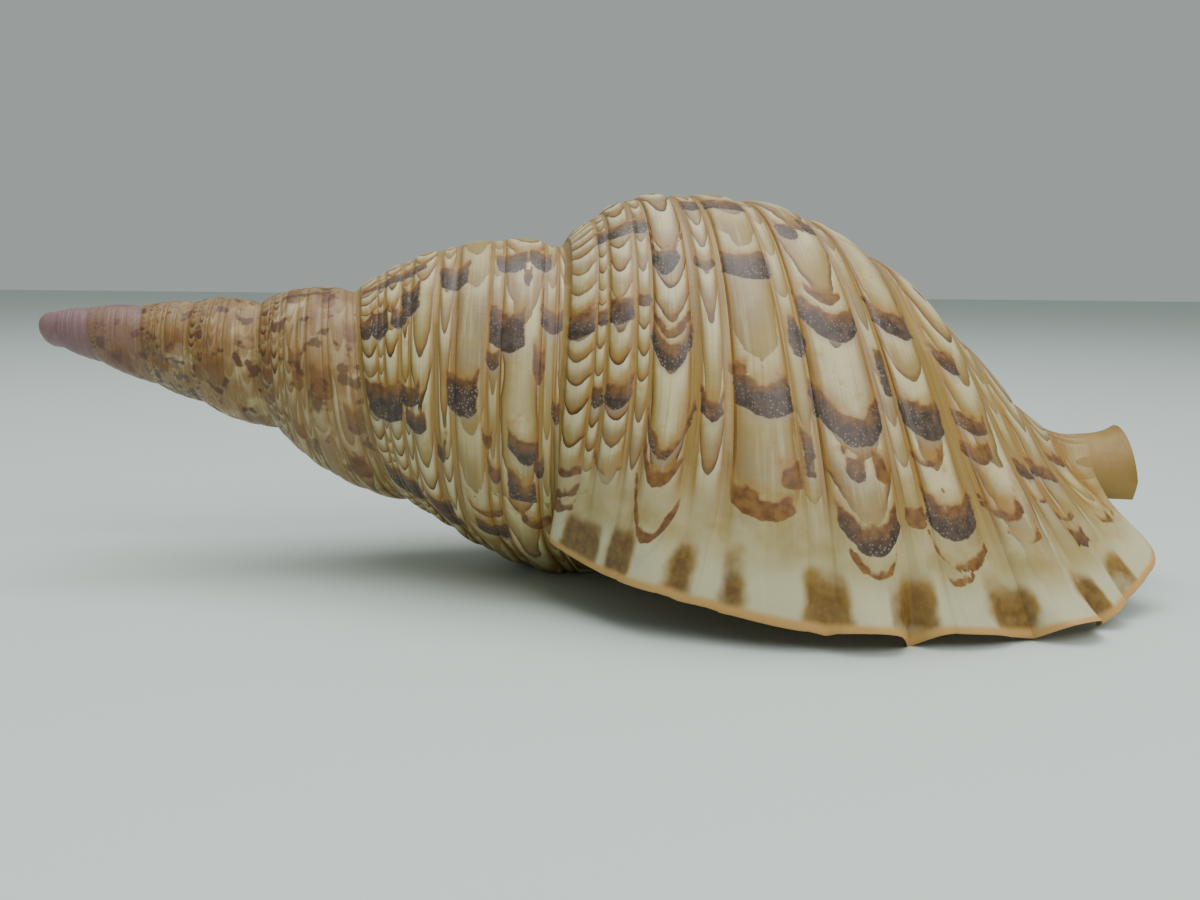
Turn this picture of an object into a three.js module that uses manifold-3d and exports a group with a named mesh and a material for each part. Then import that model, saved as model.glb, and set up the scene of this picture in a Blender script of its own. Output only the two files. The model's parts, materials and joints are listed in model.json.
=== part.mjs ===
// Triton shell: a long pointed spire that winds into one wide last whorl with a flared, toothed
// outer lip and a short open canal at the front. Lengths are in mm, Z is up, and the shell rests on
// its mouth with the spire towards -X and the outer lip towards -Y.
//
// The shell is described in its own frame: u runs along the winding axis from the tip, r is the
// distance from that axis and phi is the turn about it (0 on top, 90 degrees towards -Y).
// Growth t counts whole turns and is 0 at the outer lip, negative towards the tip. Across one
// turn of growth, s runs from the upper seam (0) over the whorl to the lower seam (1), down the
// base to the neck (2) and along the canal to its end (3).
import * as THREE from "three";
import Module from "manifold-3d";

const DEG = Math.PI / 180;

// Winding: the seam line between whorls, one knot per listed turn.
const SEAM_TURN = [-6.6, -6, -5, -4, -3, -2, -1, -0.5, 0, 1];
const SEAM_U = [4, 8, 19, 36.5, 51, 73.5, 107.5, 142, 163, 261];
const SEAM_R = [4, 5.5, 7.8, 11.5, 14.7, 18, 29.5, 43, 49, 65.5];
const LIP_R = 49;
const LIP_PHI = 113;
const TURNS = 6.5;

// Whorl outline between two seams, then the base, the neck and the canal.
const HEAD_TURN = [-6.6, -4, -3, -2.2, -1, 1];
const HEAD_RISE = [24, 27, 34, 46, 48, 48];
const HEAD_FALL = [4, 0, -6, -15, -18, -18];
const RISE_PULL = 1.03;
const FALL_PULL = 0.6;
const BASE_PULL = 1.3;
const NECK_PULL = 0.57;
const NECK_U = 312;
const NECK_R = 12.6;
const END_U = 326;
const END_R = 14.2;
const END_HEAD = 12;
const END_SLANT = 4;
const GROWTH = 1.62;

// The canal turns up by CANAL_LIFT, starting CANAL_BEND from the tip.
const CANAL_LIFT = 6.6;
const CANAL_BEND = 262;
const CANAL_LENGTH = 64;

// Outer lip: how far its edge is carried along the axis, outwards and onwards, across s.
const LIP_S = [0, 0.1, 0.2, 0.35, 0.6, 1, 1.3, 1.5, 1.75, 2, 3];
const LIP_ALONG = [0, -9, -8, -11.5, -1, 6.5, 23, 26, 25.5, 8, 0];
const LIP_OUT = [0, 0, 5, 11, 19, 16, 16.5, 14, 14.5, 8, 0];
const LIP_TURN_S = [0, 0.1, 0.2, 0.35, 0.6, 1];
const LIP_TURN = [15, 11, 7, 2.5, 0, 0];
const FLARE_WIDE = 0.21;
const FLARE_SHARP = 0.12;
const FLARE_SHARE = 0.46;

// Uneven growth: a swell on the back and a flat on the side that lies down. The cords there are
// worn level with the lip's teeth, at height FOOT before the shell is set on the table.
const SWELLS = [[-0.33, 0.13, 6], [-0.88, 0.07, -5]];
const FOOT = 0.4;

// Spiral cords: middle, half width and height on the last whorl. Those above BEADED_TO are cut
// into BEADS knobs a turn, and all of them fade out on the last FADE_TURNS before the lip. The
// early whorls are rubbed down by the share WORN.
const BEADED_TO = 0.25;
const BEADS = 18;
const FADE_TURNS = 0.07;
const WORN = 0.5;
const CORDS = [
  [0.085, 0.05, 1.0],
  [0.152, 0.014, 0.4],
  [0.21, 0.034, 1.0],
  [0.275, 0.017, 0.4],
  [0.35, 0.049, 1.4],
  [0.449, 0.027, 0.7],
  [0.56, 0.066, 1.5],
  [0.653, 0.02, 0.3],
  [0.78, 0.098, 1.7],
  [1.03, 0.062, 1.3],
  [1.22, 0.08, 1.3],
  [1.5, 0.09, 1.1],
  [1.72, 0.07, 0.8],
];

// Teeth of the lip: middle, half width and length. They are drawn out of the last EDGE_TURNS of
// growth, and the lip between them is domed over the last FAN_TURNS.
const EDGE_TURNS = 0.03;
const FAN_TURNS = 0.09;
const TEETH = [
  [0.17, 0.02, 0.7],
  [0.25, 0.02, 0.8],
  [0.44, 0.025, 0.7],
  [0.5, 0.02, 0.7],
  [0.66, 0.03, 0.7],
  [0.87, 0.065, 5.0],
  [1.13, 0.07, 3.5],
  [1.31, 0.06, 3.8],
  [1.46, 0.04, 2.4],
];

// Between the large teeth the edge is drawn back in arches: middle, half width and depth.
const ARCHES = [
  [0.76, 0.1, 3.4],
  [1.0, 0.12, 2.7],
  [1.22, 0.09, 5.8],
  [1.385, 0.075, 0.6],
];

// Wall, the glaze on the inner side and the open canal.
const WALL = 2.7;
const GLAZE = 0.9;
const HOLLOW_TURNS = 2.2;
const HOLLOW_PAST = 0.06;
const CANAL_PHI = 160;

// The bore of the canal: place along the axis, radius and distance from the axis.
const CANAL_BORE = [
  [250, 5, 9],
  [270, 5.5, 7],
  [290, 6.4, 5],
  [308, 7.8, 4.2],
  [320, 9.8, 3.4],
  [340, 14, 2.4],
];
const SLOT_FROM = 285;
const SLOT_REACH = 34;

// Rest: nose down by PITCH, turned by YAW, the axis start at X0 and Z0.
const PITCH = 8.4 * DEG;
const YAW = -1.3 * DEG;
const X0 = -167.7;
const Z0 = 73;

// Mesh fineness: rows a turn outside and inside, and how near two points give a direction.
const STEPS = 36;
const HOLLOW_STEPS = 24;
const NEARBY = 0.004;
const LIP_STEPS = [-4, -3.5, -3, -2.5, -2, -1.5, -1, -0.6, -0.3, -0.1, 0];

const clamp = (x, a, b) => Math.min(b, Math.max(a, x));

// A smooth curve through knots, straight at both ends.
function spline(x, y) {
  const n = x.length;
  const c = new Array(n).fill(0);
  const d = new Array(n).fill(0);
  for (let i = 1; i < n - 1; i++) {
    const a = x[i] - x[i - 1];
    const b = x[i + 1] - x[i];
    const rhs = 6 * ((y[i + 1] - y[i]) / b - (y[i] - y[i - 1]) / a);
    const pivot = 2 * (a + b) - a * c[i - 1];
    c[i] = b / pivot;
    d[i] = (rhs - a * d[i - 1]) / pivot;
  }
  const m = new Array(n).fill(0);
  for (let i = n - 2; i > 0; i--) {
    m[i] = d[i] - c[i] * m[i + 1];
  }
  return (q) => {
    const v = clamp(q, x[0], x[n - 1]);
    let i = 0;
    while (i < n - 2 && v >= x[i + 1]) i++;
    const h = x[i + 1] - x[i];
    const a = x[i + 1] - v;
    const b = v - x[i];
    const curve = (m[i] * a ** 3 + m[i + 1] * b ** 3) / (6 * h);
    return curve + (y[i] / h - m[i] * h / 6) * a + (y[i + 1] / h - m[i + 1] * h / 6) * b;
  };
}

const seamLogU = spline(SEAM_TURN, SEAM_U.map((u) => Math.log(u + 20)));
const seamLogR = spline(SEAM_TURN, SEAM_R.map((r) => Math.log(r)));
const lipAlong = spline(LIP_S, LIP_ALONG);
const lipOut = spline(LIP_S, LIP_OUT);
const lipTurn = spline(LIP_TURN_S, LIP_TURN);
const headRise = spline(HEAD_TURN, HEAD_RISE);
const headFall = spline(HEAD_TURN, HEAD_FALL);
const seam = (t) => [Math.exp(seamLogU(t)) - 20, Math.exp(seamLogR(t))];

// A curved piece between two points with a heading and a pull at each end.
function arc(p, q, headP, headQ, pullP, pullQ, w) {
  const len = Math.hypot(q[0] - p[0], q[1] - p[1]);
  const h0 = 2 * w ** 3 - 3 * w ** 2 + 1;
  const h1 = w ** 3 - 2 * w ** 2 + w;
  const h2 = -2 * w ** 3 + 3 * w ** 2;
  const h3 = w ** 3 - w ** 2;
  const along = h0 * p[0] + h2 * q[0];
  const out = h0 * p[1] + h2 * q[1];
  const a = h1 * len * pullP;
  const b = h3 * len * pullQ;
  return [
    along + a * Math.cos(headP) + b * Math.cos(headQ),
    out + a * Math.sin(headP) + b * Math.sin(headQ),
  ];
}

// Outline of the whorl at growth t, in the half plane through the axis.
function outline(t, s) {
  const g = GROWTH ** Math.min(0, t + 0.75);
  const low = seam(t + 1);
  const neck = [NECK_U * g, NECK_R * g];
  const rise = headRise(t) * DEG;
  const fall = headFall(t) * DEG;
  if (s <= 1) return arc(seam(t), low, rise, fall, RISE_PULL, FALL_PULL, s);
  if (s <= 2) return arc(low, neck, fall, 0, BASE_PULL, NECK_PULL, s - 1);
  return arc(neck, [END_U * g, END_R * g], 0, END_HEAD * DEG, 1, 1, s - 2);
}

// How strongly the flare of the lip is felt at growth t.
function flare(t) {
  const wide = clamp(1 + t / FLARE_WIDE, 0, 1) ** 2;
  const sharp = clamp(1 + t / FLARE_SHARP, 0, 1) ** 2;
  return (1 - FLARE_SHARE) * wide + FLARE_SHARE * sharp;
}

// Height of the spiral cords above the plain whorl.
function cordHeight(t, s) {
  let h = 0;
  for (const [mid, half, top] of CORDS) {
    const d = Math.abs(s - mid) / half;
    if (d < 1) h = Math.max(h, top * Math.sqrt(1 - d * d));
  }
  const size = clamp(seam(t)[1] / LIP_R, 0.15, 1) * (1 - WORN * clamp(-1.6 - t, 0, 1));
  const beads = s < BEADED_TO ? 1 + 0.25 * Math.cos(t * 2 * Math.PI * BEADS) : 1;
  return h * size * beads * (1 - 0.65 * clamp(1 + t / FADE_TURNS, 0, 1));
}

// Teeth push the edge on; between them the last part of the lip is domed like a fan.
function toothAt(s) {
  let h = 0;
  for (const [mid, half, long] of TEETH) {
    const d = Math.abs(s - mid) / half;
    if (d < 1) h = Math.max(h, long * (1 - d) ** 1.6);
  }
  for (const [mid, half, deep] of ARCHES) {
    const d = Math.abs(s - mid) / half;
    if (d < 1) h -= deep * (1 - d * d);
  }
  return h;
}

// The skin point at growth t, moved inwards by inset.
function skin(t, s, inset) {
  const late = flare(t);
  const before = t <= -1 + 1e-9 ? flare(Math.min(t + 1, 0)) : 0;
  let turn = s < 1 ? late * lipTurn(s) : 0;
  if (s <= 1) turn += before * lipTurn(clamp(1 - s, 0, 1));
  const tt = t + turn / 360;
  const at = (q) => {
    const [u, r] = outline(tt, q);
    const win = clamp(q / 0.25, 0, 1) * clamp((1.7 - q) / 0.5, 0, 1);
    let more = 0;
    for (const [mid, width, high] of SWELLS) {
      more += high * Math.exp(-(((tt - mid) / width) ** 2)) * win;
    }
    return [u + late * lipAlong(q), r + more + late * lipOut(q)];
  };
  const p = at(s);
  const a = at(Math.max(0, s - NEARBY));
  const b = at(Math.min(3, s + NEARBY));
  const len = Math.hypot(b[0] - a[0], b[1] - a[1]);
  const fan = clamp(1 + t / FAN_TURNS, 0, 1) * toothAt(s);
  const fade = clamp(s / 0.03, 0, 1) * clamp((s < 1 ? 1 - s : s - 1) / 0.03 + 1, 0, 1);
  const lift = (inset > 0 ? 0 : cordHeight(t, s) * fade) - 0.5 * fan - inset;
  const u = p[0] - lift * (b[1] - a[1]) / len;
  const r = p[1] + lift * (b[0] - a[0]) / len;
  const tip = (clamp(1 + t / EDGE_TURNS, 0, 1) ** 2) * toothAt(s) / r;
  const point = place(u, r, (LIP_PHI + 360 * tt) * DEG + tip, s);
  if (inset <= 0) point[2] = Math.max(point[2], FOOT);
  return point;
}

// From the shell's own frame to the table.
function settle(u, y, z) {
  const x1 = u * Math.cos(PITCH) + z * Math.sin(PITCH);
  const z1 = -u * Math.sin(PITCH) + z * Math.cos(PITCH);
  return [
    x1 * Math.cos(YAW) - y * Math.sin(YAW) + X0,
    x1 * Math.sin(YAW) + y * Math.cos(YAW),
    z1 + Z0,
  ];
}

// The canal turns up a little towards its end, and its end is cut back on the upper side.
const canalRise = (u) => CANAL_LIFT * clamp((u - CANAL_BEND) / CANAL_LENGTH, 0, 1.2) ** 2;

function place(u, r, phi, s) {
  const rise = canalRise(u) * clamp((s - 1.6) / 0.4, 0, 1);
  const back = END_SLANT * Math.max(0, Math.cos(phi)) * clamp(s - 2, 0, 1) ** 2;
  return settle(u - back, -r * Math.sin(phi), r * Math.cos(phi) + rise);
}

// A mesh under construction: corners and triangles.
class Skin {
  constructor() {
    this.points = [];
    this.faces = [];
  }
  add(p) {
    this.points.push(p);
    return this.points.length - 1;
  }
  face(a, b, c) {
    if (a !== b && b !== c && a !== c) this.faces.push(a, b, c);
  }
  // Fill the gap between two rows of corners, each with its own measure along the row.
  bridge(rowA, rowB, atA, atB) {
    let i = 0;
    let j = 0;
    while (i < rowA.length - 1 || j < rowB.length - 1) {
      const nextA = i < rowA.length - 1 ? atA[i + 1] : Infinity;
      const nextB = j < rowB.length - 1 ? atB[j + 1] : Infinity;
      if (nextA <= nextB) {
        this.face(rowA[i], rowB[j], rowA[i + 1]);
        i++;
      } else {
        this.face(rowA[i], rowB[j], rowB[j + 1]);
        j++;
      }
    }
  }
  // Close a loop of corners with a fan from one middle corner.
  fan(loop, middle) {
    for (let i = 0; i < loop.length; i++) {
      this.face(loop[i], loop[(i + 1) % loop.length], middle);
    }
  }
  volume() {
    let v = 0;
    for (let k = 0; k < this.faces.length; k += 3) {
      const [a, b, c] = [0, 1, 2].map((q) => new THREE.Vector3(...this.points[this.faces[k + q]]));
      v += a.dot(b.cross(c)) / 6;
    }
    return v;
  }
  solid(wasm) {
    if (this.volume() < 0) this.faces.reverse();
    const mesh = new wasm.Mesh({
      numProp: 3,
      vertProperties: new Float32Array(this.points.flat()),
      triVerts: new Uint32Array(this.faces),
    });
    return new wasm.Manifold(mesh);
  }
}

// Where a row of corners is set across the whorl: finer on the larger whorls.
function rowAcross(step) {
  if (step < -3 * STEPS) return [0, 0.2, 0.4, 0.6, 0.8, 1];
  if (step < -2 * STEPS) return [0, 0.035, 0.13, 0.25, 0.35, 0.5, 0.66, 0.78, 0.9, 1];
  const s = [0];
  for (const [mid, half] of CORDS) {
    if (mid + half > 1) break;
    if (half < 0.015) continue;
    s.push(mid - half);
    s.push(mid);
    if (half > 0.04) s.push(mid + half);
  }
  s.push(1);
  return s;
}

const ROW_BASE = [1.03, 1.09, 1.13, 1.17, 1.22, 1.27, 1.31, 1.36, 1.45, 1.56, 1.65, 1.72, 1.8,
  1.9, 2, 2.25, 2.5, 3];

// The filled outer form: every whorl's skin, the mouth plane, the canal end and the tip.
function outerForm() {
  const form = new Skin();
  const first = -Math.round(TURNS * STEPS);
  const lastSeam = new Map();
  let prev = null;
  let firstLoop = [];
  const tipSide = [];
  const canalEnd = [];
  let mouthOld = null;
  const steps = [];
  for (let i = first; i < LIP_STEPS[0]; i++) steps.push(i);
  steps.push(...LIP_STEPS);
  for (const step of steps) {
    const t = step / STEPS;
    const across = rowAcross(step);
    const whole = Number.isInteger(step);
    const ids = across.map((s) => {
      if (s > 0) return form.add(skin(t, s, 0));
      const key = Math.floor(step) - STEPS;
      return lastSeam.has(key) ? lastSeam.get(key) : form.add(skin(t, 0, 0));
    });
    if (whole) lastSeam.set(step, ids[ids.length - 1]);
    const row = { ids, at: across };
    if (step <= first + STEPS && step > first) tipSide.push(ids[0]);
    if (step === first) firstLoop = ids;
    if (prev && step <= -STEPS) form.bridge(prev.ids, row.ids, prev.at, row.at);
    let full = row;
    if (step >= -STEPS) {
      const base = ROW_BASE.map((s) => form.add(skin(t, s, 0)));
      full = { ids: [...ids, ...base], at: [...across, ...ROW_BASE] };
      canalEnd.push(base[base.length - 1]);
      if (step === -STEPS) mouthOld = { ids: [ids[ids.length - 1], ...base], at: [1, ...ROW_BASE] };
      if (step > -STEPS) form.bridge(prev.ids, full.ids, prev.at, full.at);
    }
    prev = full;
  }
  const along = (row) => row.ids.map((id) => form.points[id][0]);
  form.bridge(prev.ids, mouthOld.ids, along(prev), along(mouthOld));
  const canalMiddle = form.add(place(END_U - 5, 1.5, 4, 3));
  form.fan(canalEnd, canalMiddle);
  roundTip(form, [...firstLoop].slice(0, -1).concat(tipSide.reverse()));
  return form;
}

// The worn tip ends in a small round knob.
function roundTip(form, loop) {
  const end = settle(0, 0, 0);
  const shrink = (part, out) => loop.map((id) => form.add(form.points[id].map((v, k) => {
    if (k > 0) return end[k] + part * (v - end[k]);
    return end[0] + out + part * (v - end[0] - out) / 2;
  })));
  const ring = shrink(0.72, 0.8);
  const closed = (ids) => [...ids, ids[0]];
  const at = closed(loop).map((id, i) => i);
  form.bridge(closed(ring), closed(loop), at, at);
  form.fan(ring, form.add(settle(0.2, 0, 0)));
}

// The wall swells behind the lip and thins to its edge.
function wallAtLip(t) {
  const swell = 0.35 * Math.exp(-(((t + 0.07) / 0.05) ** 2));
  return 1 + swell - 0.35 * clamp(1 + t / 0.04, 0, 1);
}

// The room inside: between the wall of one whorl and the glazed base of the whorl before it.
function hollow() {
  const form = new Skin();
  const outerAt = [0.12, 0.25, 0.4, 0.56, 0.72, 0.88, 1.05, 1.22, 1.4, 1.56, 1.7, 1.8];
  const innerAt = [1.09, 1.25, 1.45, 1.62, 1.78, 1.9];
  let prev = null;
  const count = Math.round((HOLLOW_TURNS + HOLLOW_PAST) * HOLLOW_STEPS);
  for (let k = 0; k <= count; k++) {
    const t = -HOLLOW_TURNS + (HOLLOW_TURNS + HOLLOW_PAST) * k / count;
    const size = Math.sqrt(clamp(seam(t)[1] / LIP_R, 0.1, 1));
    const wall = WALL * size * wallAtLip(t);
    const open = clamp(1 + t / 0.3, 0, 1);
    const outer = outerAt.map((s) => form.add(skin(t, s, wall)));
    outer.push(form.add(skin(t, 1.86 + 0.1 * open, wall + 1.5 * open)));
    outer.push(form.add(skin(t, 1.9 + 0.22 * open, wall + 3.8 * open)));
    const inner = innerAt.map((s) => form.add(skin(t - 1, s, -GLAZE)));
    inner.push(form.add(skin(t - 1, 1.93 + 0.1 * open, 3.2 * open - GLAZE)));
    inner.push(form.add(skin(t - 1, 1.96 + 0.2 * open, 5.4 * open - GLAZE)));
    const ring = [...outer, ...[...inner].reverse(), outer[0]];
    const at = ring.map((id, i) => i);
    const along = (ids) => ids.map((id) => form.points[id][0]);
    if (prev) form.bridge(prev, ring, at, at);
    else form.bridge(inner, outer, along(inner), along(outer));
    if (k === count) form.bridge(outer, inner, along(outer), along(inner));
    prev = ring;
  }
  return form;
}

// The open canal: a bore beside the pillar with a slot along its lower side.
function canal() {
  const form = new Skin();
  const dir = [-Math.sin(CANAL_PHI * DEG), Math.cos(CANAL_PHI * DEG)];
  const across = [dir[1], -dir[0]];
  const at = (u, a, b) => form.add(settle(u, a * dir[0] + b * across[0],
    a * dir[1] + b * across[1] + canalRise(u)));
  let prev = null;
  CANAL_BORE.forEach(([u, bore, off], k) => {
    const ring = [];
    for (let i = 0; i <= 10; i++) {
      const w = (40 + 28 * i) * DEG;
      ring.push(at(u, off + bore * Math.cos(w), bore * Math.sin(w)));
    }
    const reach = u < SLOT_FROM ? off + bore : SLOT_REACH;
    ring.push(at(u, reach, -0.5 * bore));
    ring.push(at(u, reach, 0.5 * bore));
    const loop = [...ring, ring[0]];
    const measure = loop.map((id, i) => i);
    if (prev) form.bridge(prev, loop, measure, measure);
    else form.fan(ring, at(u, off, 0));
    if (k === CANAL_BORE.length - 1) form.fan([...ring].reverse(), at(u, off, 0));
    prev = loop;
  });
  return form;
}

// A triangle mesh of the finished solid, set with the middle of its foot at the origin.
function meshOf(solid) {
  const mesh = solid.getMesh();
  const n = mesh.numProp;
  const pos = new Float32Array(mesh.vertProperties.length / n * 3);
  for (let i = 0; i < pos.length / 3; i++) {
    for (let k = 0; k < 3; k++) pos[3 * i + k] = mesh.vertProperties[n * i + k];
  }
  const shape = new THREE.BufferGeometry();
  shape.setAttribute("position", new THREE.BufferAttribute(pos, 3));
  shape.setIndex([...mesh.triVerts]);
  shape.computeBoundingBox();
  const box = shape.boundingBox;
  shape.translate(-(box.min.x + box.max.x) / 2, -(box.min.y + box.max.y) / 2, -box.min.z);
  shape.computeVertexNormals();
  const shell = new THREE.Mesh(shape, new THREE.MeshStandardMaterial({ color: 0xd9c4a0, roughness: 0.45 }));
  shell.name = "shell";
  return shell;
}

const wasm = await Module();
wasm.setup();
const shell = outerForm().solid(wasm)
  .subtract(hollow().solid(wasm))
  .subtract(canal().solid(wasm));
const part = new THREE.Group();
part.name = "triton_shell";
part.add(meshOf(shell));
export default part;
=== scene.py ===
# %% [markdown]
# # A triton shell, grown in numbers
# A triton is a sea snail, and its shell is one hollow tube of chalk that widens as it winds round
# an axis. The oldest part is the pointed tip, the newest is the flared edge of the mouth.
# No point is placed by hand: every one follows from two numbers. The growth t counts
# turns and is 0 at the mouth's edge. The position s crosses one turn of the tube, from the seam
# with the whorl above (0) to the seam below (1), down the base (2) and along the canal (3).

# %% Set-up and the frame of the solid part
import json
import math
import bmesh
import bpy
import numpy as np
from mathutils import Matrix, Vector

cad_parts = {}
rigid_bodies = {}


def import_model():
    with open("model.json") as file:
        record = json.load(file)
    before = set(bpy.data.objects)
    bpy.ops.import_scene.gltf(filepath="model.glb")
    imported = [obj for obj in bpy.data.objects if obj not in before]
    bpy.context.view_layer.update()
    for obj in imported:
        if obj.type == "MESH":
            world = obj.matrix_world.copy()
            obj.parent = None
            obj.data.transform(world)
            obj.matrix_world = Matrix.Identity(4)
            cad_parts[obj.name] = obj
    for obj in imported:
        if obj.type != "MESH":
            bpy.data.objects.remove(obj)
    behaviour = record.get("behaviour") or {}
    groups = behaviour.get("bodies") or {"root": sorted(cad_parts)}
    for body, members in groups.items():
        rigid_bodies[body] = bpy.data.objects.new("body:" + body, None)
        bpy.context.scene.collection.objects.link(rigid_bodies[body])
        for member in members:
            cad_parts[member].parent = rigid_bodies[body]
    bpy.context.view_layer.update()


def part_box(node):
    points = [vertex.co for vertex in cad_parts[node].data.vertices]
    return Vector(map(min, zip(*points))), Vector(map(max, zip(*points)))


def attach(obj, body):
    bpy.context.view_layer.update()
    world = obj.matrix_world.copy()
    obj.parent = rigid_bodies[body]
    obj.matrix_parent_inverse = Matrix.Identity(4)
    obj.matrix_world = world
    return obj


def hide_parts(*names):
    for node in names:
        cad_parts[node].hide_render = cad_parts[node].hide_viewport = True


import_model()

# %% [markdown]
# ## The winding
# Real shells keep almost the same shape while they grow, so the seam between whorls is close to a
# spiral on a cone, with radius and length both growing by a steady factor. This shell was uneven,
# with slim early whorls and two big late ones, so the seam is a smooth curve through a few knots
# instead of a pure power law. The knots come from a scratch program that fitted the whorls to
# landmarks read from the photograph, and were rounded. Logarithms keep the growth smooth.

# %% The fitted seam and the curve through it
DEG = math.pi / 180
# the seam by turn: mm along the axis and mm from it
SEAM_TURN = [-6.6, -6, -5, -4, -3, -2, -1, -0.5, 0, 1]
SEAM_U = [4, 8, 19, 36.5, 51, 73.5, 107.5, 142, 163, 261]
SEAM_R = [4, 5.5, 7.8, 11.5, 14.7, 18, 29.5, 43, 49, 65.5]
SEAM_SHIFT = 20.0
LIP_R, LIP_PHI = 49, 113
TURNS = 6.5


def spline(x, y):
    """Smooth curve through knots: third powers between knots, with bends that meet and no bend at
    the two ends. Returns a function of position."""
    x, y = np.array(x, float), np.array(y, float)
    h, k = np.diff(x), np.arange(1, len(x) - 1)
    table, right = np.eye(len(x)), np.zeros(len(x))
    table[k, k - 1], table[k, k], table[k, k + 1] = h[:-1], 2 * (h[:-1] + h[1:]), h[1:]
    right[k] = 6 * np.diff(np.diff(y) / h)
    m = np.linalg.solve(table, right)

    def at(q):
        v = np.clip(q, x[0], x[-1])
        i = np.clip(np.searchsorted(x, v, side="right") - 1, 0, len(x) - 2)
        a, b = x[i + 1] - v, v - x[i]
        line = (y[i] / h[i] - m[i] * h[i] / 6) * a + (y[i + 1] / h[i] - m[i + 1] * h[i] / 6) * b
        return line + (m[i] * a**3 + m[i + 1] * b**3) / (6 * h[i])
    return at


log_u = spline(SEAM_TURN, np.log(np.array(SEAM_U) + SEAM_SHIFT))
log_r = spline(SEAM_TURN, np.log(SEAM_R))


def seam(t):
    """Seam at growth t: distance along the axis and from it, in mm."""
    return np.exp(log_u(t)) - SEAM_SHIFT, np.exp(log_r(t))


print("seam at the mouth: u %.0f mm, r %.0f mm" % seam(0.0))

# %% [markdown]
# ## The outline of one whorl
# Cut the shell along its axis and each whorl shows a curved outline: it leaves the upper seam
# steeply, bulges, and dips into the lower seam. Below the last seam the base runs down to a slim
# neck and the short canal. Each piece is one curve with a heading and a pull at both ends, which
# are few enough numbers to fit them to the outline in the photograph.

# %% Outline in the half plane through the axis
HEAD_TURN = [-6.6, -4, -3, -2.2, -1, 1]
HEAD_RISE = [24, 27, 34, 46, 48, 48]
HEAD_FALL = [4, 0, -6, -15, -18, -18]
RISE_PULL, FALL_PULL, BASE_PULL, NECK_PULL = 1.03, 0.6, 1.3, 0.57
NECK_U, NECK_R, END_U, END_R, END_HEAD = 312, 12.6, 326, 14.2, 12 * DEG
GROWTH, GROWTH_FROM = 1.62, -0.75
head_rise, head_fall = spline(HEAD_TURN, HEAD_RISE), spline(HEAD_TURN, HEAD_FALL)


def arc(p, q, head_p, head_q, pull_p, pull_q, w):
    """Curve from p to q: the four cubic blends of the two ends and the two headings, each heading
    drawn out by its pull times the straight distance."""
    size = np.hypot(q[0] - p[0], q[1] - p[1])
    h0, h1 = 2 * w**3 - 3 * w**2 + 1, w**3 - 2 * w**2 + w
    h2, h3 = -2 * w**3 + 3 * w**2, w**3 - w**2
    a, b = h1 * size * pull_p, h3 * size * pull_q
    u = h0 * p[0] + h2 * q[0] + a * np.cos(head_p) + b * np.cos(head_q)
    return u, h0 * p[1] + h2 * q[1] + a * np.sin(head_p) + b * np.sin(head_q)


def outline(t, s):
    """Outline at growth t: whorl for s up to 1, base up to 2, canal up to 3."""
    g = GROWTH ** np.minimum(0, t - GROWTH_FROM)
    high, low = seam(t), seam(t + 1)
    neck, end = (NECK_U * g, NECK_R * g), (END_U * g, END_R * g)
    rise, fall, flat = head_rise(t) * DEG, head_fall(t) * DEG, 0 * t
    whorl = arc(high, low, rise, fall, RISE_PULL, FALL_PULL, np.clip(s, 0, 1))
    base = arc(low, neck, fall, flat, BASE_PULL, NECK_PULL, np.clip(s - 1, 0, 1))
    canal = arc(neck, end, flat, flat + END_HEAD, 1, 1, np.clip(s - 2, 0, 1))
    return tuple(np.where(s <= 1, w, np.where(s <= 2, b, c)) for w, b, c in zip(whorl, base, canal))


widest = outline(np.array(0.0), np.linspace(0, 1, 50))[1].max()
print("widest radius of the last whorl: %.0f mm" % widest)

# %% [markdown]
# ## Cords, scales and teeth
# The snail lays down raised cords that follow the winding. Those next to the seam are cut into
# small beads like roof scales. At the mouth the lip flares out and its edge grows short teeth.
# One table lists every cord, because the same list later places the brown marks, which on the
# real shell also sit cord by cord. The lip's curve, its teeth and arches and the uneven swells were
# fitted by scratch programs to the outline read from the photograph, and then rounded.

# %% The table of cords and the height of the relief
# name: (from s, to s, height mm, scales per turn, bow of a scale)
CORDS = {
    "beads": (0.035, 0.135, 1.0, 56, 0.55), "string": (0.138, 0.166, 0.4, 62, 0.3),
    "second": (0.176, 0.244, 1.0, 44, 0.6), "yellow": (0.258, 0.292, 0.4, 40, 0.4),
    "shoulder": (0.301, 0.399, 1.4, 24, 0.9), "slim": (0.422, 0.476, 0.7, 26, 0.8),
    "wide": (0.494, 0.626, 1.5, 15, 0.55), "thread": (0.633, 0.673, 0.3, 30, 0.3),
    "belly": (0.682, 0.878, 1.7, 15, 0.9), "low thread": (0.893, 0.953, 0.3, 26, 0.4),
    "base one": (0.968, 1.092, 1.3, 16, 0.9), "base two": (1.14, 1.30, 1.3, 16, 1.0),
    "base thread": (1.325, 1.385, 0.3, 20, 0.4), "base three": (1.41, 1.59, 1.1, 15, 1.0),
    "neck one": (1.65, 1.79, 0.8, 15, 1.0), "plain": (1.80, 3.0, 0.0, 10, 0.5),
}
# the number of a place that lies on no cord
NO_CORD = 30.0
# along the lip's edge: (middle s, half width, mm further for a tooth or mm less for an arch)
TEETH = [(0.17, 0.02, 0.7), (0.25, 0.02, 0.8), (0.44, 0.025, 0.7), (0.5, 0.02, 0.7), (0.66, 0.03, 0.7),
         (0.87, 0.065, 5.0), (1.13, 0.07, 3.5), (1.31, 0.06, 3.8), (1.46, 0.04, 2.4)]
ARCHES = [(0.76, 0.1, 3.4), (1.0, 0.12, 2.7), (1.22, 0.09, 5.8), (1.385, 0.075, 0.6)]
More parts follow.
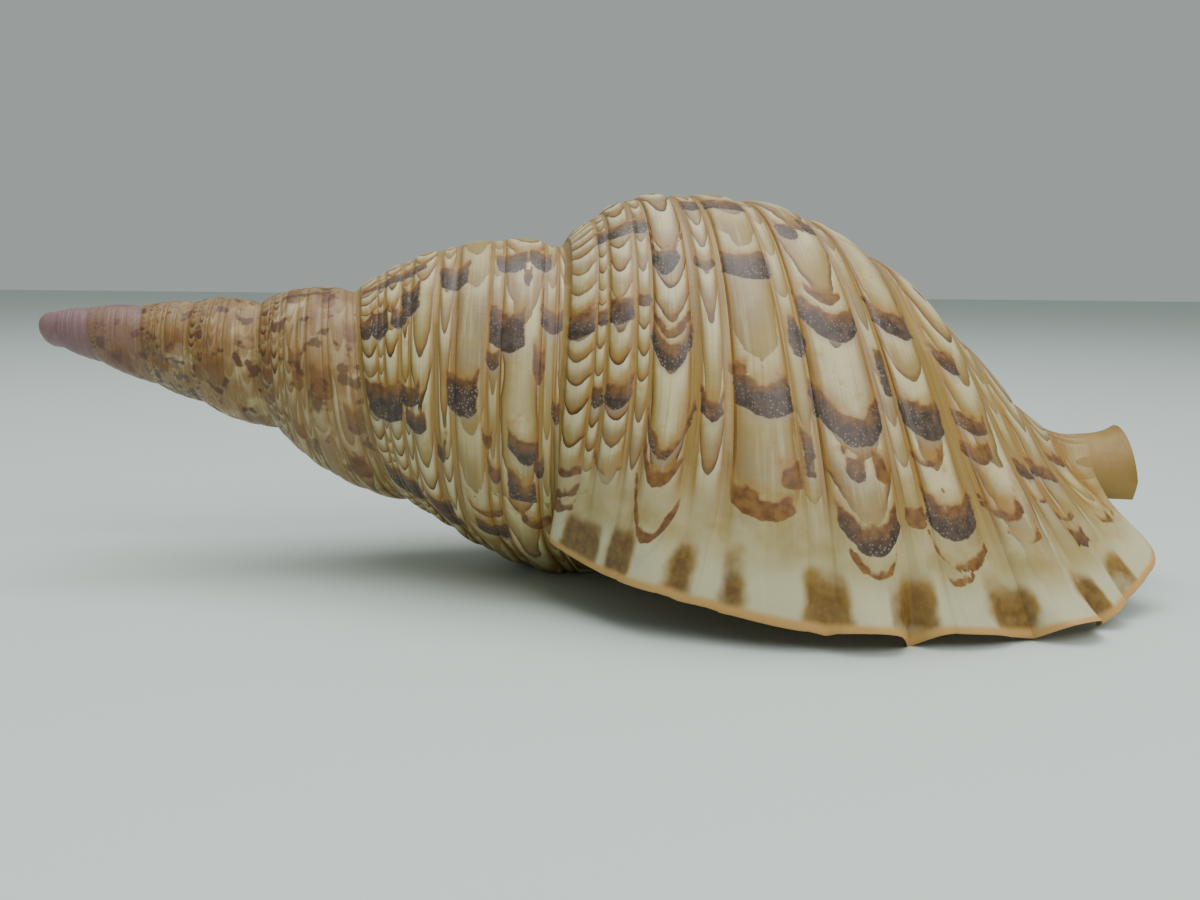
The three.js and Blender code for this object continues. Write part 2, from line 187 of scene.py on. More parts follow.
# the flared lip by place s: mm along the axis, mm away from it, and degrees that it runs ahead
LIP_S = [0, 0.1, 0.2, 0.35, 0.6, 1, 1.3, 1.5, 1.75, 2, 3]
LIP_ALONG = [0, -9, -8, -11.5, -1, 6.5, 23, 26, 25.5, 8, 0]
LIP_OUT = [0, 0, 5, 11, 19, 16, 16.5, 14, 14.5, 8, 0]
LIP_TURN_S = [0, 0.1, 0.2, 0.35, 0.6, 1]
LIP_TURN = [15, 11, 7, 2.5, 0, 0]
FLARE_WIDE, FLARE_SHARP, FLARE_SHARE = 0.21, 0.12, 0.46
# uneven growth: (middle in turns, width in turns, mm out)
SWELLS = [(-0.33, 0.13, 6.0), (-0.88, 0.07, -5.0)]
# height below the axis in mm where the shell is worn flat
FOOT = -72.6
CUSP_POWER = 1.6
# a scale starts low, rises by a power of the way along it and drops at its end
SCALED_TO, SCALE_LOW, SCALE_RISE, SCALE_POWER, DROP_FROM, DROP_LENGTH = 0.3, 0.72, 0.4, 1.5, 0.86, 0.14
FEWER_SCALES = 0.75
# the relief is lower on narrow and on worn early whorls and near the lip's edge
LEAST_RELIEF, WORN, WORN_FROM, LIP_LOSS, LIP_TURNS = 0.15, 0.5, -1.6, 0.65, 0.07
lip_along, lip_out = spline(LIP_S, LIP_ALONG), spline(LIP_S, LIP_OUT)
lip_turn = spline(LIP_TURN_S, LIP_TURN)


def flare(t):
    """How far the lip's flare is felt: two squared ramps, a wide and a sharp one."""
    wide, sharp = np.clip(1 + t / FLARE_WIDE, 0, 1) ** 2, np.clip(1 + t / FLARE_SHARP, 0, 1) ** 2
    return (1 - FLARE_SHARE) * wide + FLARE_SHARE * sharp


def tooth(s):
    """How far the lip's edge runs on at s: the tallest of a few cusps, less the arches between them."""
    cusps = [size * (1 - np.clip(np.abs(s - mid) / half, 0, 1)) ** CUSP_POWER for mid, half, size in TEETH]
    arches = [deep * (1 - np.clip(np.abs(s - mid) / half, 0, 1) ** 2) for mid, half, deep in ARCHES]
    return np.max(cusps, axis=0) - np.sum(arches, axis=0)


def scale_count(t, per_turn):
    """Running number of scales along a cord: fewer per turn on the whorls before the last."""
    return per_turn * np.where(t > -1, t, -1 + FEWER_SCALES * (t + 1))


def relief(t, s):
    """Height of the cords in mm: a half round for each cord, roofed by its scales near the seam."""
    h = np.zeros(np.broadcast(t, s).shape)
    for name, (a, b, top, per_turn, bow) in CORDS.items():
        x = (2 * s - a - b) / (b - a)
        round_top = top * np.sqrt(np.clip(1 - x * x, 0, 1))
        if b < SCALED_TO and top > 0:
            f = (scale_count(t, per_turn) + bow * x * x) % 1.0
            drop = 1 - np.clip((f - DROP_FROM) / DROP_LENGTH, 0, 1) ** 2
            round_top = round_top * (SCALE_LOW + SCALE_RISE * f**SCALE_POWER * drop)
        h = np.maximum(h, round_top)
    size = np.clip(seam(t)[1] / LIP_R, LEAST_RELIEF, 1) * (1 - WORN * np.clip(WORN_FROM - t, 0, 1))
    return h * size * (1 - LIP_LOSS * np.clip(1 + t / LIP_TURNS, 0, 1))


s_try = np.linspace(0, 1, 400)
print("tallest relief: %.1f mm" % relief(np.full(400, -0.5), s_try).max())

# %% [markdown]
# ## One skin for everything
# The outer skin, the inner skin and the glaze over the old base are the same surface moved in or
# out along its own normal. Writing one function with an inset means the wall gets its thickness
# for free, as the animal does by adding chalk from inside.

# %% The skin as a function of growth, position and inset
PITCH, YAW = 8.4 * DEG, -1.3 * DEG
CANAL_LIFT, CANAL_BEND, CANAL_LENGTH, MOST_RISE, END_SLANT = 6.6, 262, 64, 1.2, 4
# s over which the rise of the canal is blended in, and s over which the swells fade in and out
RISE_FROM, RISE_SPAN = 1.6, 0.4
SWELL_IN, SWELL_STOP, SWELL_OUT = 0.25, 1.7, 0.5
# the teeth sink the lip by a share of their length over FAN_TURNS, and move its edge on over CUSP_TURNS
FAN_TURNS, FAN_SINK, CUSP_TURNS = 0.09, 0.5, 0.03
# s over which the relief starts below the seam, and the step in s that gives the outline's normal
SEAM_EASE, SLOPE_STEP = 0.03, 0.004
# turns that count as no distance
HAIR = 1e-9


def canal_rise(u):
    """The canal turns up: a squared ramp over the last part of the axis."""
    return CANAL_LIFT * np.clip((u - CANAL_BEND) / CANAL_LENGTH, 0, MOST_RISE) ** 2


def settle(u, y, z):
    """From the shell's own axis to the table: nose down by PITCH, then turned by YAW."""
    x1, z1 = u * np.cos(PITCH) + z * np.sin(PITCH), z * np.cos(PITCH) - u * np.sin(PITCH)
    return np.stack([x1 * np.cos(YAW) - y * np.sin(YAW), x1 * np.sin(YAW) + y * np.cos(YAW), z1], -1)


def plain(t, s, late):
    """Outline with the swells of uneven growth and the lip's flare, still without cords."""
    u, r = outline(t, s)
    window = np.clip(s / SWELL_IN, 0, 1) * np.clip((SWELL_STOP - s) / SWELL_OUT, 0, 1)
    for mid, width, high in SWELLS:
        r = r + high * np.exp(-(((t - mid) / width) ** 2)) * window
    return u + late * lip_along(s), r + late * lip_out(s)


def skin(t, s, inset=0.0, rim=0.0):
    """Points of the skin in mm. The lip's back end runs ahead by lip_turn, on the new whorl and on
    the old one below it alike, so that the seam stays shared. Relief, teeth and inset act along
    the outline's normal."""
    t, s, inset = np.broadcast_arrays(*(np.asarray(value, float) for value in (t, s, inset)))
    late = flare(t)
    last = np.where(t <= -1 + HAIR, flare(np.minimum(t + 1, 0)), 0)
    ahead_new = np.where(s < 1, late * lip_turn(s), 0)
    ahead_old = np.where(s <= 1, last * lip_turn(np.clip(1 - s, 0, 1)), 0)
    tt = t + (ahead_new + ahead_old) / 360
    u, r = plain(tt, s, late)
    ua, ra = plain(tt, np.maximum(0, s - SLOPE_STEP), late)
    ub, rb = plain(tt, np.minimum(3, s + SLOPE_STEP), late)
    size = np.hypot(ub - ua, rb - ra)
    fan = np.clip(1 + t / FAN_TURNS, 0, 1) * tooth(s)
    cords = np.where(inset > 0, 0, relief(t, s) * np.clip(s / SEAM_EASE, 0, 1))
    lift = cords - FAN_SINK * fan - inset - rim
    u, r = u - lift * (rb - ra) / size, r + lift * (ub - ua) / size
    phi = (LIP_PHI + 360 * tt) * DEG + np.clip(1 + t / CUSP_TURNS, 0, 1) ** 2 * tooth(s) / r
    rise = canal_rise(u) * np.clip((s - RISE_FROM) / RISE_SPAN, 0, 1)
    u = u - END_SLANT * np.maximum(np.cos(phi), 0) * np.clip(s - 2, 0, 1) ** 2
    points = settle(u, -r * np.sin(phi), r * np.cos(phi) + rise)
    points[..., 2] = np.where(inset <= 0, np.maximum(points[..., 2], FOOT), points[..., 2])
    return points


print("a point of the lip in mm, before the piece is moved:", skin(0.0, 1.5).round(0))

# %% [markdown]
# ## From grid to solid
# The skin is laid out on rows of growth and columns of position, and every cell of that grid
# becomes two triangles. A gap between two rows is filled by stepping along both at once. That is
# also how the mouth is closed, since the old base and the new lip are just two rows of different
# length.

# %% Triangles between rows, and a mesh from arrays


def bridge(row_a, row_b, at_a, at_b):
    """Triangles between two rows, always stepping on in the row whose next corner comes first."""
    order = np.argsort(np.concatenate([at_a[1:], at_b[1:]]), kind="stable")
    on_a = order < len(row_a) - 1
    i, j = np.cumsum(on_a) - on_a, np.cumsum(~on_a) - ~on_a
    last_a, last_b = np.minimum(i + 1, len(row_a) - 1), np.minimum(j + 1, len(row_b) - 1)
    third = np.where(on_a, row_a[last_a], row_b[last_b])
    return np.stack([row_a[i], row_b[j], third], -1)


def fan_to(loop, middle):
    """Triangles from every side of a closed loop to one middle corner."""
    return np.stack([loop, np.roll(loop, -1), np.full(len(loop), middle)], -1)


def whole(tri):
    """True for triangles with three different corners."""
    return (tri[:, 0] != tri[:, 1]) & (tri[:, 1] != tri[:, 2]) & (tri[:, 0] != tri[:, 2])


def strips(ids, coords):
    """Two triangles for every cell of a grid of corner numbers, with the growth coordinates of
    every triangle's corners alongside. Triangles with two corners in one place are left out."""
    q = [ids[:-1, :-1], ids[1:, :-1], ids[1:, 1:], ids[:-1, 1:]]
    c = [coords[:-1, :-1], coords[1:, :-1], coords[1:, 1:], coords[:-1, 1:]]
    tri = np.concatenate([np.stack([q[0], q[1], q[2]], -1).reshape(-1, 3),
                          np.stack([q[0], q[2], q[3]], -1).reshape(-1, 3)])
    uv = np.concatenate([np.stack([c[0], c[1], c[2]], -2).reshape(-1, 3, 2),
                         np.stack([c[0], c[2], c[3]], -2).reshape(-1, 3, 2)])
    good = whole(tri)
    return tri[good], uv[good]


def facing_out(points, tri):
    """True when the signed volume under the triangles is positive."""
    a, b, c = points[tri[:, 0]], points[tri[:, 1]], points[tri[:, 2]]
    return np.einsum("ij,ij->i", a, np.cross(b, c)).sum() > 0


def mesh_object(name, points, tri, uv, materials, use):
    """A mesh in metres with a UV map named grow, and the numbered one of the materials all over."""
    if not facing_out(points, tri):
        tri, uv = tri[:, ::-1], uv[:, ::-1]
    mesh = bpy.data.meshes.new(name)
    mesh.vertices.add(len(points))
    mesh.vertices.foreach_set("co", (points * 0.001).astype(np.float32).ravel())
    mesh.loops.add(3 * len(tri))
    mesh.loops.foreach_set("vertex_index", tri.astype(np.int32).ravel())
    mesh.polygons.add(len(tri))
    mesh.polygons.foreach_set("loop_start", np.arange(0, 3 * len(tri), 3, dtype=np.int32))
    mesh.uv_layers.new(name="grow").data.foreach_set("uv", uv.astype(np.float32).ravel())
    mesh.polygons.foreach_set("material_index", np.full(len(tri), use, np.int32))
    for material in materials:
        mesh.materials.append(material)
    mesh.update()
    mesh.validate()
    thing = bpy.data.objects.new(name, mesh)
    bpy.context.scene.collection.objects.link(thing)
    return thing


# %% [markdown]
# ## Rows and columns where they are needed
# A real shell shows its growth as fine lines across the whorl, and its edge is thin and rounded.
# The mesh could be even everywhere, but then either the tip has far too many faces or the lip too
# few. So rows crowd towards the mouth's edge, and columns crowd at the sides of every cord, where
# the surface turns most.

# %% The rows and columns of the outer skin
# rows: (from turn, to turn, how many), then single ones towards the mouth's edge
ROW_STRETCHES = [(-TURNS, -3, 126), (-3, -2, 90), (-2, -1, 150), (-1, -0.02, 230)]
EDGE_ROWS = [-0.02, -0.016, -0.012, -0.009, -0.0065, -0.0045,
             -0.003, -0.002, -0.0013, -0.0007, -0.0003, 0.0]
COLUMNS_PER_S, PLAIN_COLUMNS = 70, 26
rows = np.concatenate([np.linspace(a, b, n, endpoint=False) for a, b, n in ROW_STRETCHES] + [EDGE_ROWS])
columns = [0.0]
for a, b, top, per_turn, bow in CORDS.values():
    steps = 2 + int(round(COLUMNS_PER_S * (b - a))) if top > 0 else PLAIN_COLUMNS
    columns += list(a + (b - a) * (1 - np.cos(np.linspace(0, np.pi, steps + 1))) / 2)
columns = np.unique(np.round(columns + [1.0], 5))
across, below = columns[columns <= 1], columns[columns > 1]
print(len(rows), "rows,", len(across), "columns on a whorl,", len(below), "more on the base")


# %% [markdown]
# ## The corners and the tip
# The spire's rows share their corners at the seams: a corner on the upper seam is the very corner
# that the whorl before has on its lower seam. Only the last turn has a base that is still bare. The
# tip is closed with a small worn knob, whose rings shrink towards the axis.

# %% Corner numbers and the knob of the tip
KNOB_LEVELS = [(0.93, 0.55), (0.78, 0.3), (0.5, 0.1), (0.22, 0.02)]
KNOB_REACH = 0.6


def corner_numbers(old):
    """Numbers of the grid's corners, with old as the row one turn before each row or -1. Returns
    them and the first row that has a base."""
    n, m = len(across), len(columns)
    ids = np.full((len(rows), m), -1)
    ids[:, :n] = np.arange(len(rows) * n).reshape(-1, n)
    first = int(np.searchsorted(rows, -1 - HAIR))
    ids[first:, n:] = len(rows) * n + np.arange((len(rows) - first) * (m - n)).reshape(-1, m - n)
    ids[old >= 0, 0] = ids[old[old >= 0], n - 1]
    return ids, first


def knob(flat, ring, free):
    """Points and triangles that close the tip. Each level is the open ring drawn in to a share of
    its width and of its distance from the knob's top. The first new point has the number free."""
    centre, count = settle(0.0, 0.0, 0.0), len(ring)
    extra = []
    for wide, back in KNOB_LEVELS:
        inner = flat[ring] * 1.0
        inner[:, 1:] = centre[1:] + wide * (flat[ring, 1:] - centre[1:])
        inner[:, 0] = centre[0] + KNOB_REACH + back * (flat[ring, 0] - centre[0] - KNOB_REACH)
        extra += list(inner)
    extra.append(centre + np.array([KNOB_REACH, 0, 0]))
    loops = [ring] + [free + k * count + np.arange(count) for k in range(len(KNOB_LEVELS))]
    closed = [np.append(loop, loop[0]) for loop in loops]
    even = np.arange(count + 1.0)
    tri = [bridge(inner, outer, even, even) for outer, inner in zip(closed, closed[1:])]
    tri.append(fan_to(loops[-1], free + len(KNOB_LEVELS) * count))
    return extra, tri


print("the knob has", len(KNOB_LEVELS), "rings")

# %% [markdown]
# ## The outer form
# Before it is hollowed the shell is a full body, as if cast in plaster. The mouth is closed with a
# sheet from the lip to the old base, the canal's end with a fan, and the tip with its knob. Only a
# closed body can be cut cleanly.

# %% The outer form, closed over its mouth, canal end and tip
RIM_DROP, RIM_TURNS = 0.8, 0.0022
# middle of the canal's end cap: mm back from the end, mm off the axis, turn in radians, mm up
CAP_BACK, CAP_OFF, CAP_TURN, CAP_UP = 5, 1.5, 4, 6
# growth and position that the caps and the knob are painted as
CAP_PLACE, TIP_PLACE = (0.0, 3.5), (-6.5, 0.5)


def outer_form():
    """Points, triangles and growth coordinates of the filled shell. The last rows sink by a quarter
    round, so that the lip's edge isn't sharp."""
    near = np.clip(1 + rows / RIM_TURNS, 0, 1)
    rim = RIM_DROP * (1 - np.sqrt(np.clip(1 - near**2, 0, 1)))
    t, s = rows[:, None], columns[None, :]
    points = skin(t, s, 0.0, rim[:, None])
    coords = np.stack(np.broadcast_arrays(t, s), -1)
    old = np.searchsorted(rows, rows - 1 + HAIR, side="right") - 1
    ids, first = corner_numbers(old)
    n = len(across)
    flat = np.concatenate([points[:, :n].reshape(-1, 3), points[first:, n:].reshape(-1, 3)])
    spire, uv_spire = strips(ids[: first + 1, :n], coords[: first + 1, :n])
    last, uv_last = strips(ids[first:], coords[first:])
    new_lip, old_base = ids[-1], ids[first, n - 1:]
    mouth = bridge(new_lip, old_base, flat[new_lip, 0], flat[old_base, 0])
    mouth = mouth[whole(mouth)]
    end_middle = len(flat)
    end = fan_to(ids[first:, -1], end_middle)
    cap = settle(END_U - CAP_BACK, -CAP_OFF * math.sin(CAP_TURN), CAP_OFF * math.cos(CAP_TURN) + CAP_UP)
    ring = np.concatenate([ids[0, :n], ids[old < 0, 0][::-1][:-1]])
    tip_points, tip = knob(flat, ring, end_middle + 1)
    caps = np.concatenate([mouth, end] + tip)
    uv_caps = np.zeros((len(caps), 3, 2))
    uv_caps[:] = CAP_PLACE
    uv_caps[len(mouth) + len(end):] = TIP_PLACE
    corners = np.concatenate([flat, [cap], tip_points])
    return corners, np.concatenate([spire, last, caps]), np.concatenate([uv_spire, uv_last, uv_caps])


form, form_tri, form_uv = outer_form()
print("outer form: %d triangles, length %.0f mm" % (len(form_tri), np.ptp(form[:, 0])))

# %% [markdown]
# ## The room inside and the open canal
# A whorl is hollow between its own wall and the base of the whorl before, which the animal covers
# with a thin glaze. So the hollow is cut with a solid whose outer side is the skin moved in by the
# wall, and whose inner side is the old base moved out by the glaze. The canal is a second cut: a
# bore beside the pillar that is open along its lower side.

# %% The two cutting solids
WALL, GLAZE, HOLLOW_TURNS = 2.7, 0.9, 2.2
# the wall swells behind the lip and thins towards its edge: shares of WALL and lengths in turns
SWELL_SHARE, SWELL_BACK, SWELL_SPREAD = 0.35, 0.07, 0.05
THIN_SHARE, THIN_MOST, THIN_TURNS, EDGE_TURNS, EDGE_SHARE = 0.35, 1.4, 0.04, 0.004, 0.5
LEAST_WALL = 0.1
# the room's rows as (from turn, to turn, how many) and its two sides as (from s, to s, how many)
HOLLOW_ROWS = [(-HOLLOW_TURNS, -0.2, 84), (-0.18, -0.008, 22), (-0.004, 0.05, 12)]
OUTER_SIDE, INNER_SIDE, ROOM_FRONT = (0.12, 1.8, 44), (1.09, 1.9, 18), 2.1
# strips at the sides' front: (from s, least reach, more reach at the mouth, depth at the mouth in mm)
OUTER_STRIP, INNER_STRIP = (1.82, 0.06, 0.24, 3.8), (1.91, 0.05, 0.2, 5.4)
STRIP_STEPS, STRIP_TURNS, STRIP_BEND = 8, 0.3, 1.3
# the canal's bore: radius and distance from the axis at some places along it, in mm
BORE_U, BORE_R = [250, 270, 290, 308, 320, 340], [5, 5.5, 6.4, 7.8, 9.8, 14]
BORE_OFF, BORE_STEPS = [9, 7, 5, 4.2, 3.4, 2.4], 37
ROUND_FROM, ROUND_TO, ROUND_STEPS = 40, 320, 29
# the slot points to CANAL_PHI, is as wide as the bore's radius and reaches out where it is short
CANAL_PHI, SLOT_HALF, SLOT_END, SLOT_REACH = 160 * DEG, 0.5, 285, 34
CANAL_PLACE = (0.0, 3.2)


def wall_at_lip(t):
    """Wall factor: a swell just behind the lip, then thinner towards its edge."""
    edge = np.clip(1 + t / THIN_TURNS, 0, 1) + EDGE_SHARE * np.clip(1 + t / EDGE_TURNS, 0, 1) ** 2
    swell = SWELL_SHARE * np.exp(-(((t + SWELL_BACK) / SWELL_SPREAD) ** 2))
    return 1 + swell - THIN_SHARE * np.minimum(edge, THIN_MOST)


def rings_solid(points, uv, caps):
    """Closed tube from an array of rings, with the given triangles on its ends."""
    n, m = points.shape[:2]
    ids = np.arange(n * m).reshape(n, m)
    tri, uv_tri = strips(np.hstack([ids, ids[:, :1]]), np.concatenate([uv, uv[:, :1]], 1))
    both = np.concatenate([tri] + caps)
    return points.reshape(-1, 3), both, np.concatenate([uv_tri, uv.reshape(-1, 2)[np.concatenate(caps)]])


def room_side(t, side, strip, depth, opened):
    """One side of the room: the skin moved in by a depth, and at its front a strip that bends in
    by a power of the way along it. Near the mouth the strip reaches further and deeper, so that
    the room narrows towards the canal."""
    start, least, more_reach, deep = strip
    way = np.linspace(0, 1, STRIP_STEPS)[None, :]
    smooth_part = skin(t, np.linspace(*side)[None, :], depth)
    bent_part = skin(t, start + way * (least + more_reach * opened), depth + way**STRIP_BEND * deep * opened)
    return np.concatenate([smooth_part, bent_part], 1)


def hollow():
    """The cutting solid of the room inside, from HOLLOW_TURNS back to just past the mouth."""
    t = np.concatenate([np.linspace(*stretch) for stretch in HOLLOW_ROWS])
    opened = np.clip(1 + t / STRIP_TURNS, 0, 1)[:, None]
    wall = (WALL * np.sqrt(np.clip(seam(t)[1] / LIP_R, LEAST_WALL, 1)) * wall_at_lip(t))[:, None]
    outer = room_side(t[:, None], OUTER_SIDE, OUTER_STRIP, wall, opened)
    inner = room_side(t[:, None] - 1, INNER_SIDE, INNER_STRIP, -GLAZE, opened)
    points = np.concatenate([outer, inner[:, ::-1]], 1)
    n, m = outer.shape[1], inner.shape[1]
    s_outer, s_inner = np.linspace(OUTER_SIDE[0], ROOM_FRONT, n), np.linspace(-ROOM_FRONT, -INNER_SIDE[0], m)
    s = np.concatenate([s_outer, s_inner])
    uv = np.stack(np.broadcast_arrays(t[:, None], s[None, :]), -1)
    ids = np.arange(points.shape[0] * points.shape[1]).reshape(points.shape[:2])
    caps = []
    for k, flip in ((0, False), (-1, True)):
        a, b = ids[k, :n], ids[k, n:][::-1]
        cap = bridge(b, a, points[k, n:, 0][::-1], points[k, :n, 0])
        caps.append(cap[:, ::-1] if flip else cap)
    return rings_solid(points, uv, caps)


def canal():
    """The cutting solid of the canal: a bore whose section opens to a slot towards CANAL_PHI."""
    place = np.linspace(BORE_U[0], BORE_U[-1], BORE_STEPS)
    bore, off = spline(BORE_U, BORE_R)(place), spline(BORE_U, BORE_OFF)(place)
    w = np.linspace(ROUND_FROM, ROUND_TO, ROUND_STEPS) * DEG
    far = np.where(place < SLOT_END, off + bore, SLOT_REACH)
    a = np.hstack([off[:, None] + bore[:, None] * np.cos(w), far[:, None], far[:, None]])
    b = np.hstack([bore[:, None] * np.sin(w), -SLOT_HALF * bore[:, None], SLOT_HALF * bore[:, None]])
    d = np.array([-math.sin(CANAL_PHI), math.cos(CANAL_PHI)])
    y, z = a * d[0] + b * d[1], a * d[1] - b * d[0] + canal_rise(place)[:, None]
    points = settle(np.broadcast_to(place[:, None], y.shape), y, z)
    uv = np.broadcast_to(np.array(CANAL_PLACE), (*y.shape, 2))
    m = y.shape[1]
    fan = np.stack([np.zeros(m - 2, int), np.arange(1, m - 1), np.arange(2, m)], -1)
    return rings_solid(points, uv, [fan, fan[:, ::-1] + (len(place) - 1) * m])


cutters = {"hollow": hollow(), "canal": canal()}
for name, (points, tri, uv) in cutters.items():
    print(name, len(tri), "triangles")

# %% [markdown]
# ## A small way to write down node graphs
# Shader nodes are formulas in a box diagram. A short helper lets each formula be written in one
# line, with plain numbers set directly on the node where a value never changes.

# %% Helper for material graphs
class Graph:
    """A material under construction. Every method adds one node or a few and returns its output."""

    def __init__(self, name):
        self.material = bpy.data.materials.new(name)
        self.material.use_nodes = True
        self.tree = self.material.node_tree
        self.shader = self.tree.nodes["Principled BSDF"]

    def put(self, socket, value):
        """Link an output to the socket, or set a plain number or colour on it."""
        if isinstance(value, bpy.types.NodeSocket):
            self.tree.links.new(value, socket)
        elif isinstance(value, (tuple, list)) and len(value) == 3 and socket.type == "RGBA":
            socket.default_value = (*value, 1.0)
        else:
            socket.default_value = value

    def add(self, kind, values=(), out=0, **settings):
        """A node of one kind, with its settings and the values of its inputs."""
        node = self.tree.nodes.new(kind)
        for key, value in settings.items():
            setattr(node, key, value)
        for key, value in dict(values).items():
            self.put(node.inputs[key], value)
        return node.outputs[out]

    def math(self, op, a, b=0.0, c=0.0):
        """One piece of arithmetic, under the node's own name for it."""
        return self.add("ShaderNodeMath", {0: a, 1: b, 2: c}, operation=op)

    def times(self, product, *factors):
        """Everything multiplied together."""
        for factor in factors:
            product = self.math("MULTIPLY", product, factor)
        return product

    def plus(self, a, b):
        """One value added to another."""
        return self.math("ADD", a, b)

    def line(self, value, slope, start):
        """A straight line: the value times the slope, plus the start."""
        return self.math("MULTIPLY_ADD", value, slope, start)

    def rest(self, value):
        """What is left of 1."""
        return self.math("SUBTRACT", 1.0, value)

    def step(self, value, low, high):
        """0 below low, 1 above high, smooth between; low may be the larger one."""
        flip = low > high
        ends = {1: min(low, high), 2: max(low, high), 3: 1.0 if flip else 0.0, 4: 0.0 if flip else 1.0}
        return self.add("ShaderNodeMapRange", {0: value, **ends}, interpolation_type="SMOOTHSTEP")

    def mix(self, amount, a, b):
        """Colour a with an amount of colour b in it."""
        node = self.tree.nodes.new("ShaderNodeMix")
        node.data_type = "RGBA"
        for key, value in ((0, amount), (6, a), (7, b)):
            self.put(node.inputs[key], value)
        return node.outputs[2]

    def noise(self, vector, scale, detail=2.0, rough=0.5):
        """Cloudy noise from 0 to 1, its grain one over the scale."""
        values = {"Vector": vector, "Scale": scale, "Detail": detail, "Roughness": rough}
        return self.add("ShaderNodeTexNoise", values)

    def uv(self, name):
        """The two parts of a UV map as separate numbers."""
        node = self.tree.nodes.new("ShaderNodeSeparateXYZ")
        self.put(node.inputs[0], self.add("ShaderNodeUVMap", uv_map=name))
        return node.outputs[0], node.outputs[1]

    def vector(self, x, y, z=0.0):
        """A vector put together from its parts."""
        return self.add("ShaderNodeCombineXYZ", {0: x, 1: y, 2: z})

    def streaks(self, t, s, along, over, detail):
        """Noise drawn out on the skin, with its grain counted per turn along and per whorl over."""
        return self.noise(self.vector(self.times(t, along), self.times(s, over)), 1.0, detail, 0.6)


# %% [markdown]
# ## Where the brown marks sit
# The animal paints its marks cord by cord while it builds: a blotch starts softly in gold, gets
# darker and stops at a crisp edge that bows forwards. The marks were read from the photograph
# as picture coordinates, then turned into turns of growth and places across the whorl. A scratch
# program turned those into turns of growth and places across the whorl, and most rows below are its
# rounded output, while some were put right or added by hand. The bow comes from the cord. The paint
# needs only the distances to a mark's edges, in mm.

# %% The table of marks
# cord: (end in turns, length in turns, darkness from 0 gold to 1 purple brown), and for marks
# narrower than their cord also (share of its width, place across it from -1 to 1)
MARKS = {
    "beads": [(-0.024, 0.006, 0.7), (-0.033, 0.006, 0.8), (-0.046, 0.005, 0.6), (-0.14, 0.022, 0.75)],
    "string": [(-0.091, 0.015, 0.8), (-0.147, 0.015, 0.8), (-0.232, 0.017, 0.9)],
    "second": [(-0.052, 0.004, 0.7), (-0.091, 0.014, 0.85), (-0.146, 0.02, 0.9), (-0.228, 0.017, 0.9)],
    "yellow": [(-0.159, 0.012, 0.8), (-0.228, 0.02, 0.9)],
    "shoulder": [(-0.022, 0.006, 0.5), (-0.05, 0.006, 0.4), (-0.065, 0.007, 0.8), (-0.115, 0.018, 1),
                 (-0.135, 0.008, 0.5), (-0.183, 0.024, 1, 0.8, -0.2), (-0.205, 0.006, 0.4)],
    "slim": [(-0.088, 0.011, 0.8, 0.7, 0), (-0.189, 0.01, 0.6), (-0.255, 0.019, 1)],
    "wide": [(-0.044, 0.01, 0.15, 0.85, -0.1), (-0.095, 0.022, 1, 0.9, 0), (-0.183, 0.022, 1),
             (-0.06, 0.01, 0.4, 0.2, 0.7), (-0.117, 0.007, 0.3, 0.3, -0.8), (-0.255, 0.015, 0.9)],
    "thread": [(-0.067, 0.022, 0.6, 0.4, 0), (-0.134, 0.031, 0.9, 0.7, 0.5)],
    "belly": [(-0.026, 0.004, 0.3, 0.6, 0), (-0.035, 0.014, 1, 0.85, 0), (-0.069, 0.014, 0.6, 0.28, -0.2),
              (-0.069, 0.016, 0.35, 0.2, 0.55), (-0.086, 0.018, 1), (-0.147, 0.021, 1),
              (-0.173, 0.007, 0.5, 0.6, 0), (-0.227, 0.02, 1, 0.3, -0.5), (-0.24, 0.02, 0.9, 0.35, 0.5)],
    "low thread": [(-0.05, 0.01, 0.3), (-0.12, 0.03, 0.8, 0.5, 0.4)],
    "base one": [(-0.024, 0.004, 0.25, 0.5, -0.3), (-0.031, 0.004, 0.4), (-0.045, 0.018, 0.9),
                 (-0.082, 0.004, 0.4, 0.7, -0.4), (-0.098, 0.023, 1), (-0.165, 0.02, 1)],
    "base two": [(-0.045, 0.004, 0.25, 0.5, -0.2), (-0.057, 0.008, 0.5, 0.6, -0.5),
                 (-0.091, 0.01, 0.5, 0.5, -0.6), (-0.109, 0.011, 0.9, 0.6, -0.4),
                 (-0.155, 0.017, 1, 0.4, -0.5)],
    "base thread": [(-0.067, 0.005, 0.5), (-0.085, 0.014, 0.9)],
    "base three": [(-0.035, 0.013, 0.9, 0.4, -0.7), (-0.053, 0.004, 0.5, 0.5, -0.7), (-0.086, 0.018, 0.9)],
    "neck one": [(-0.04, 0.004, 0.5), (-0.12, 0.02, 0.8)],
}
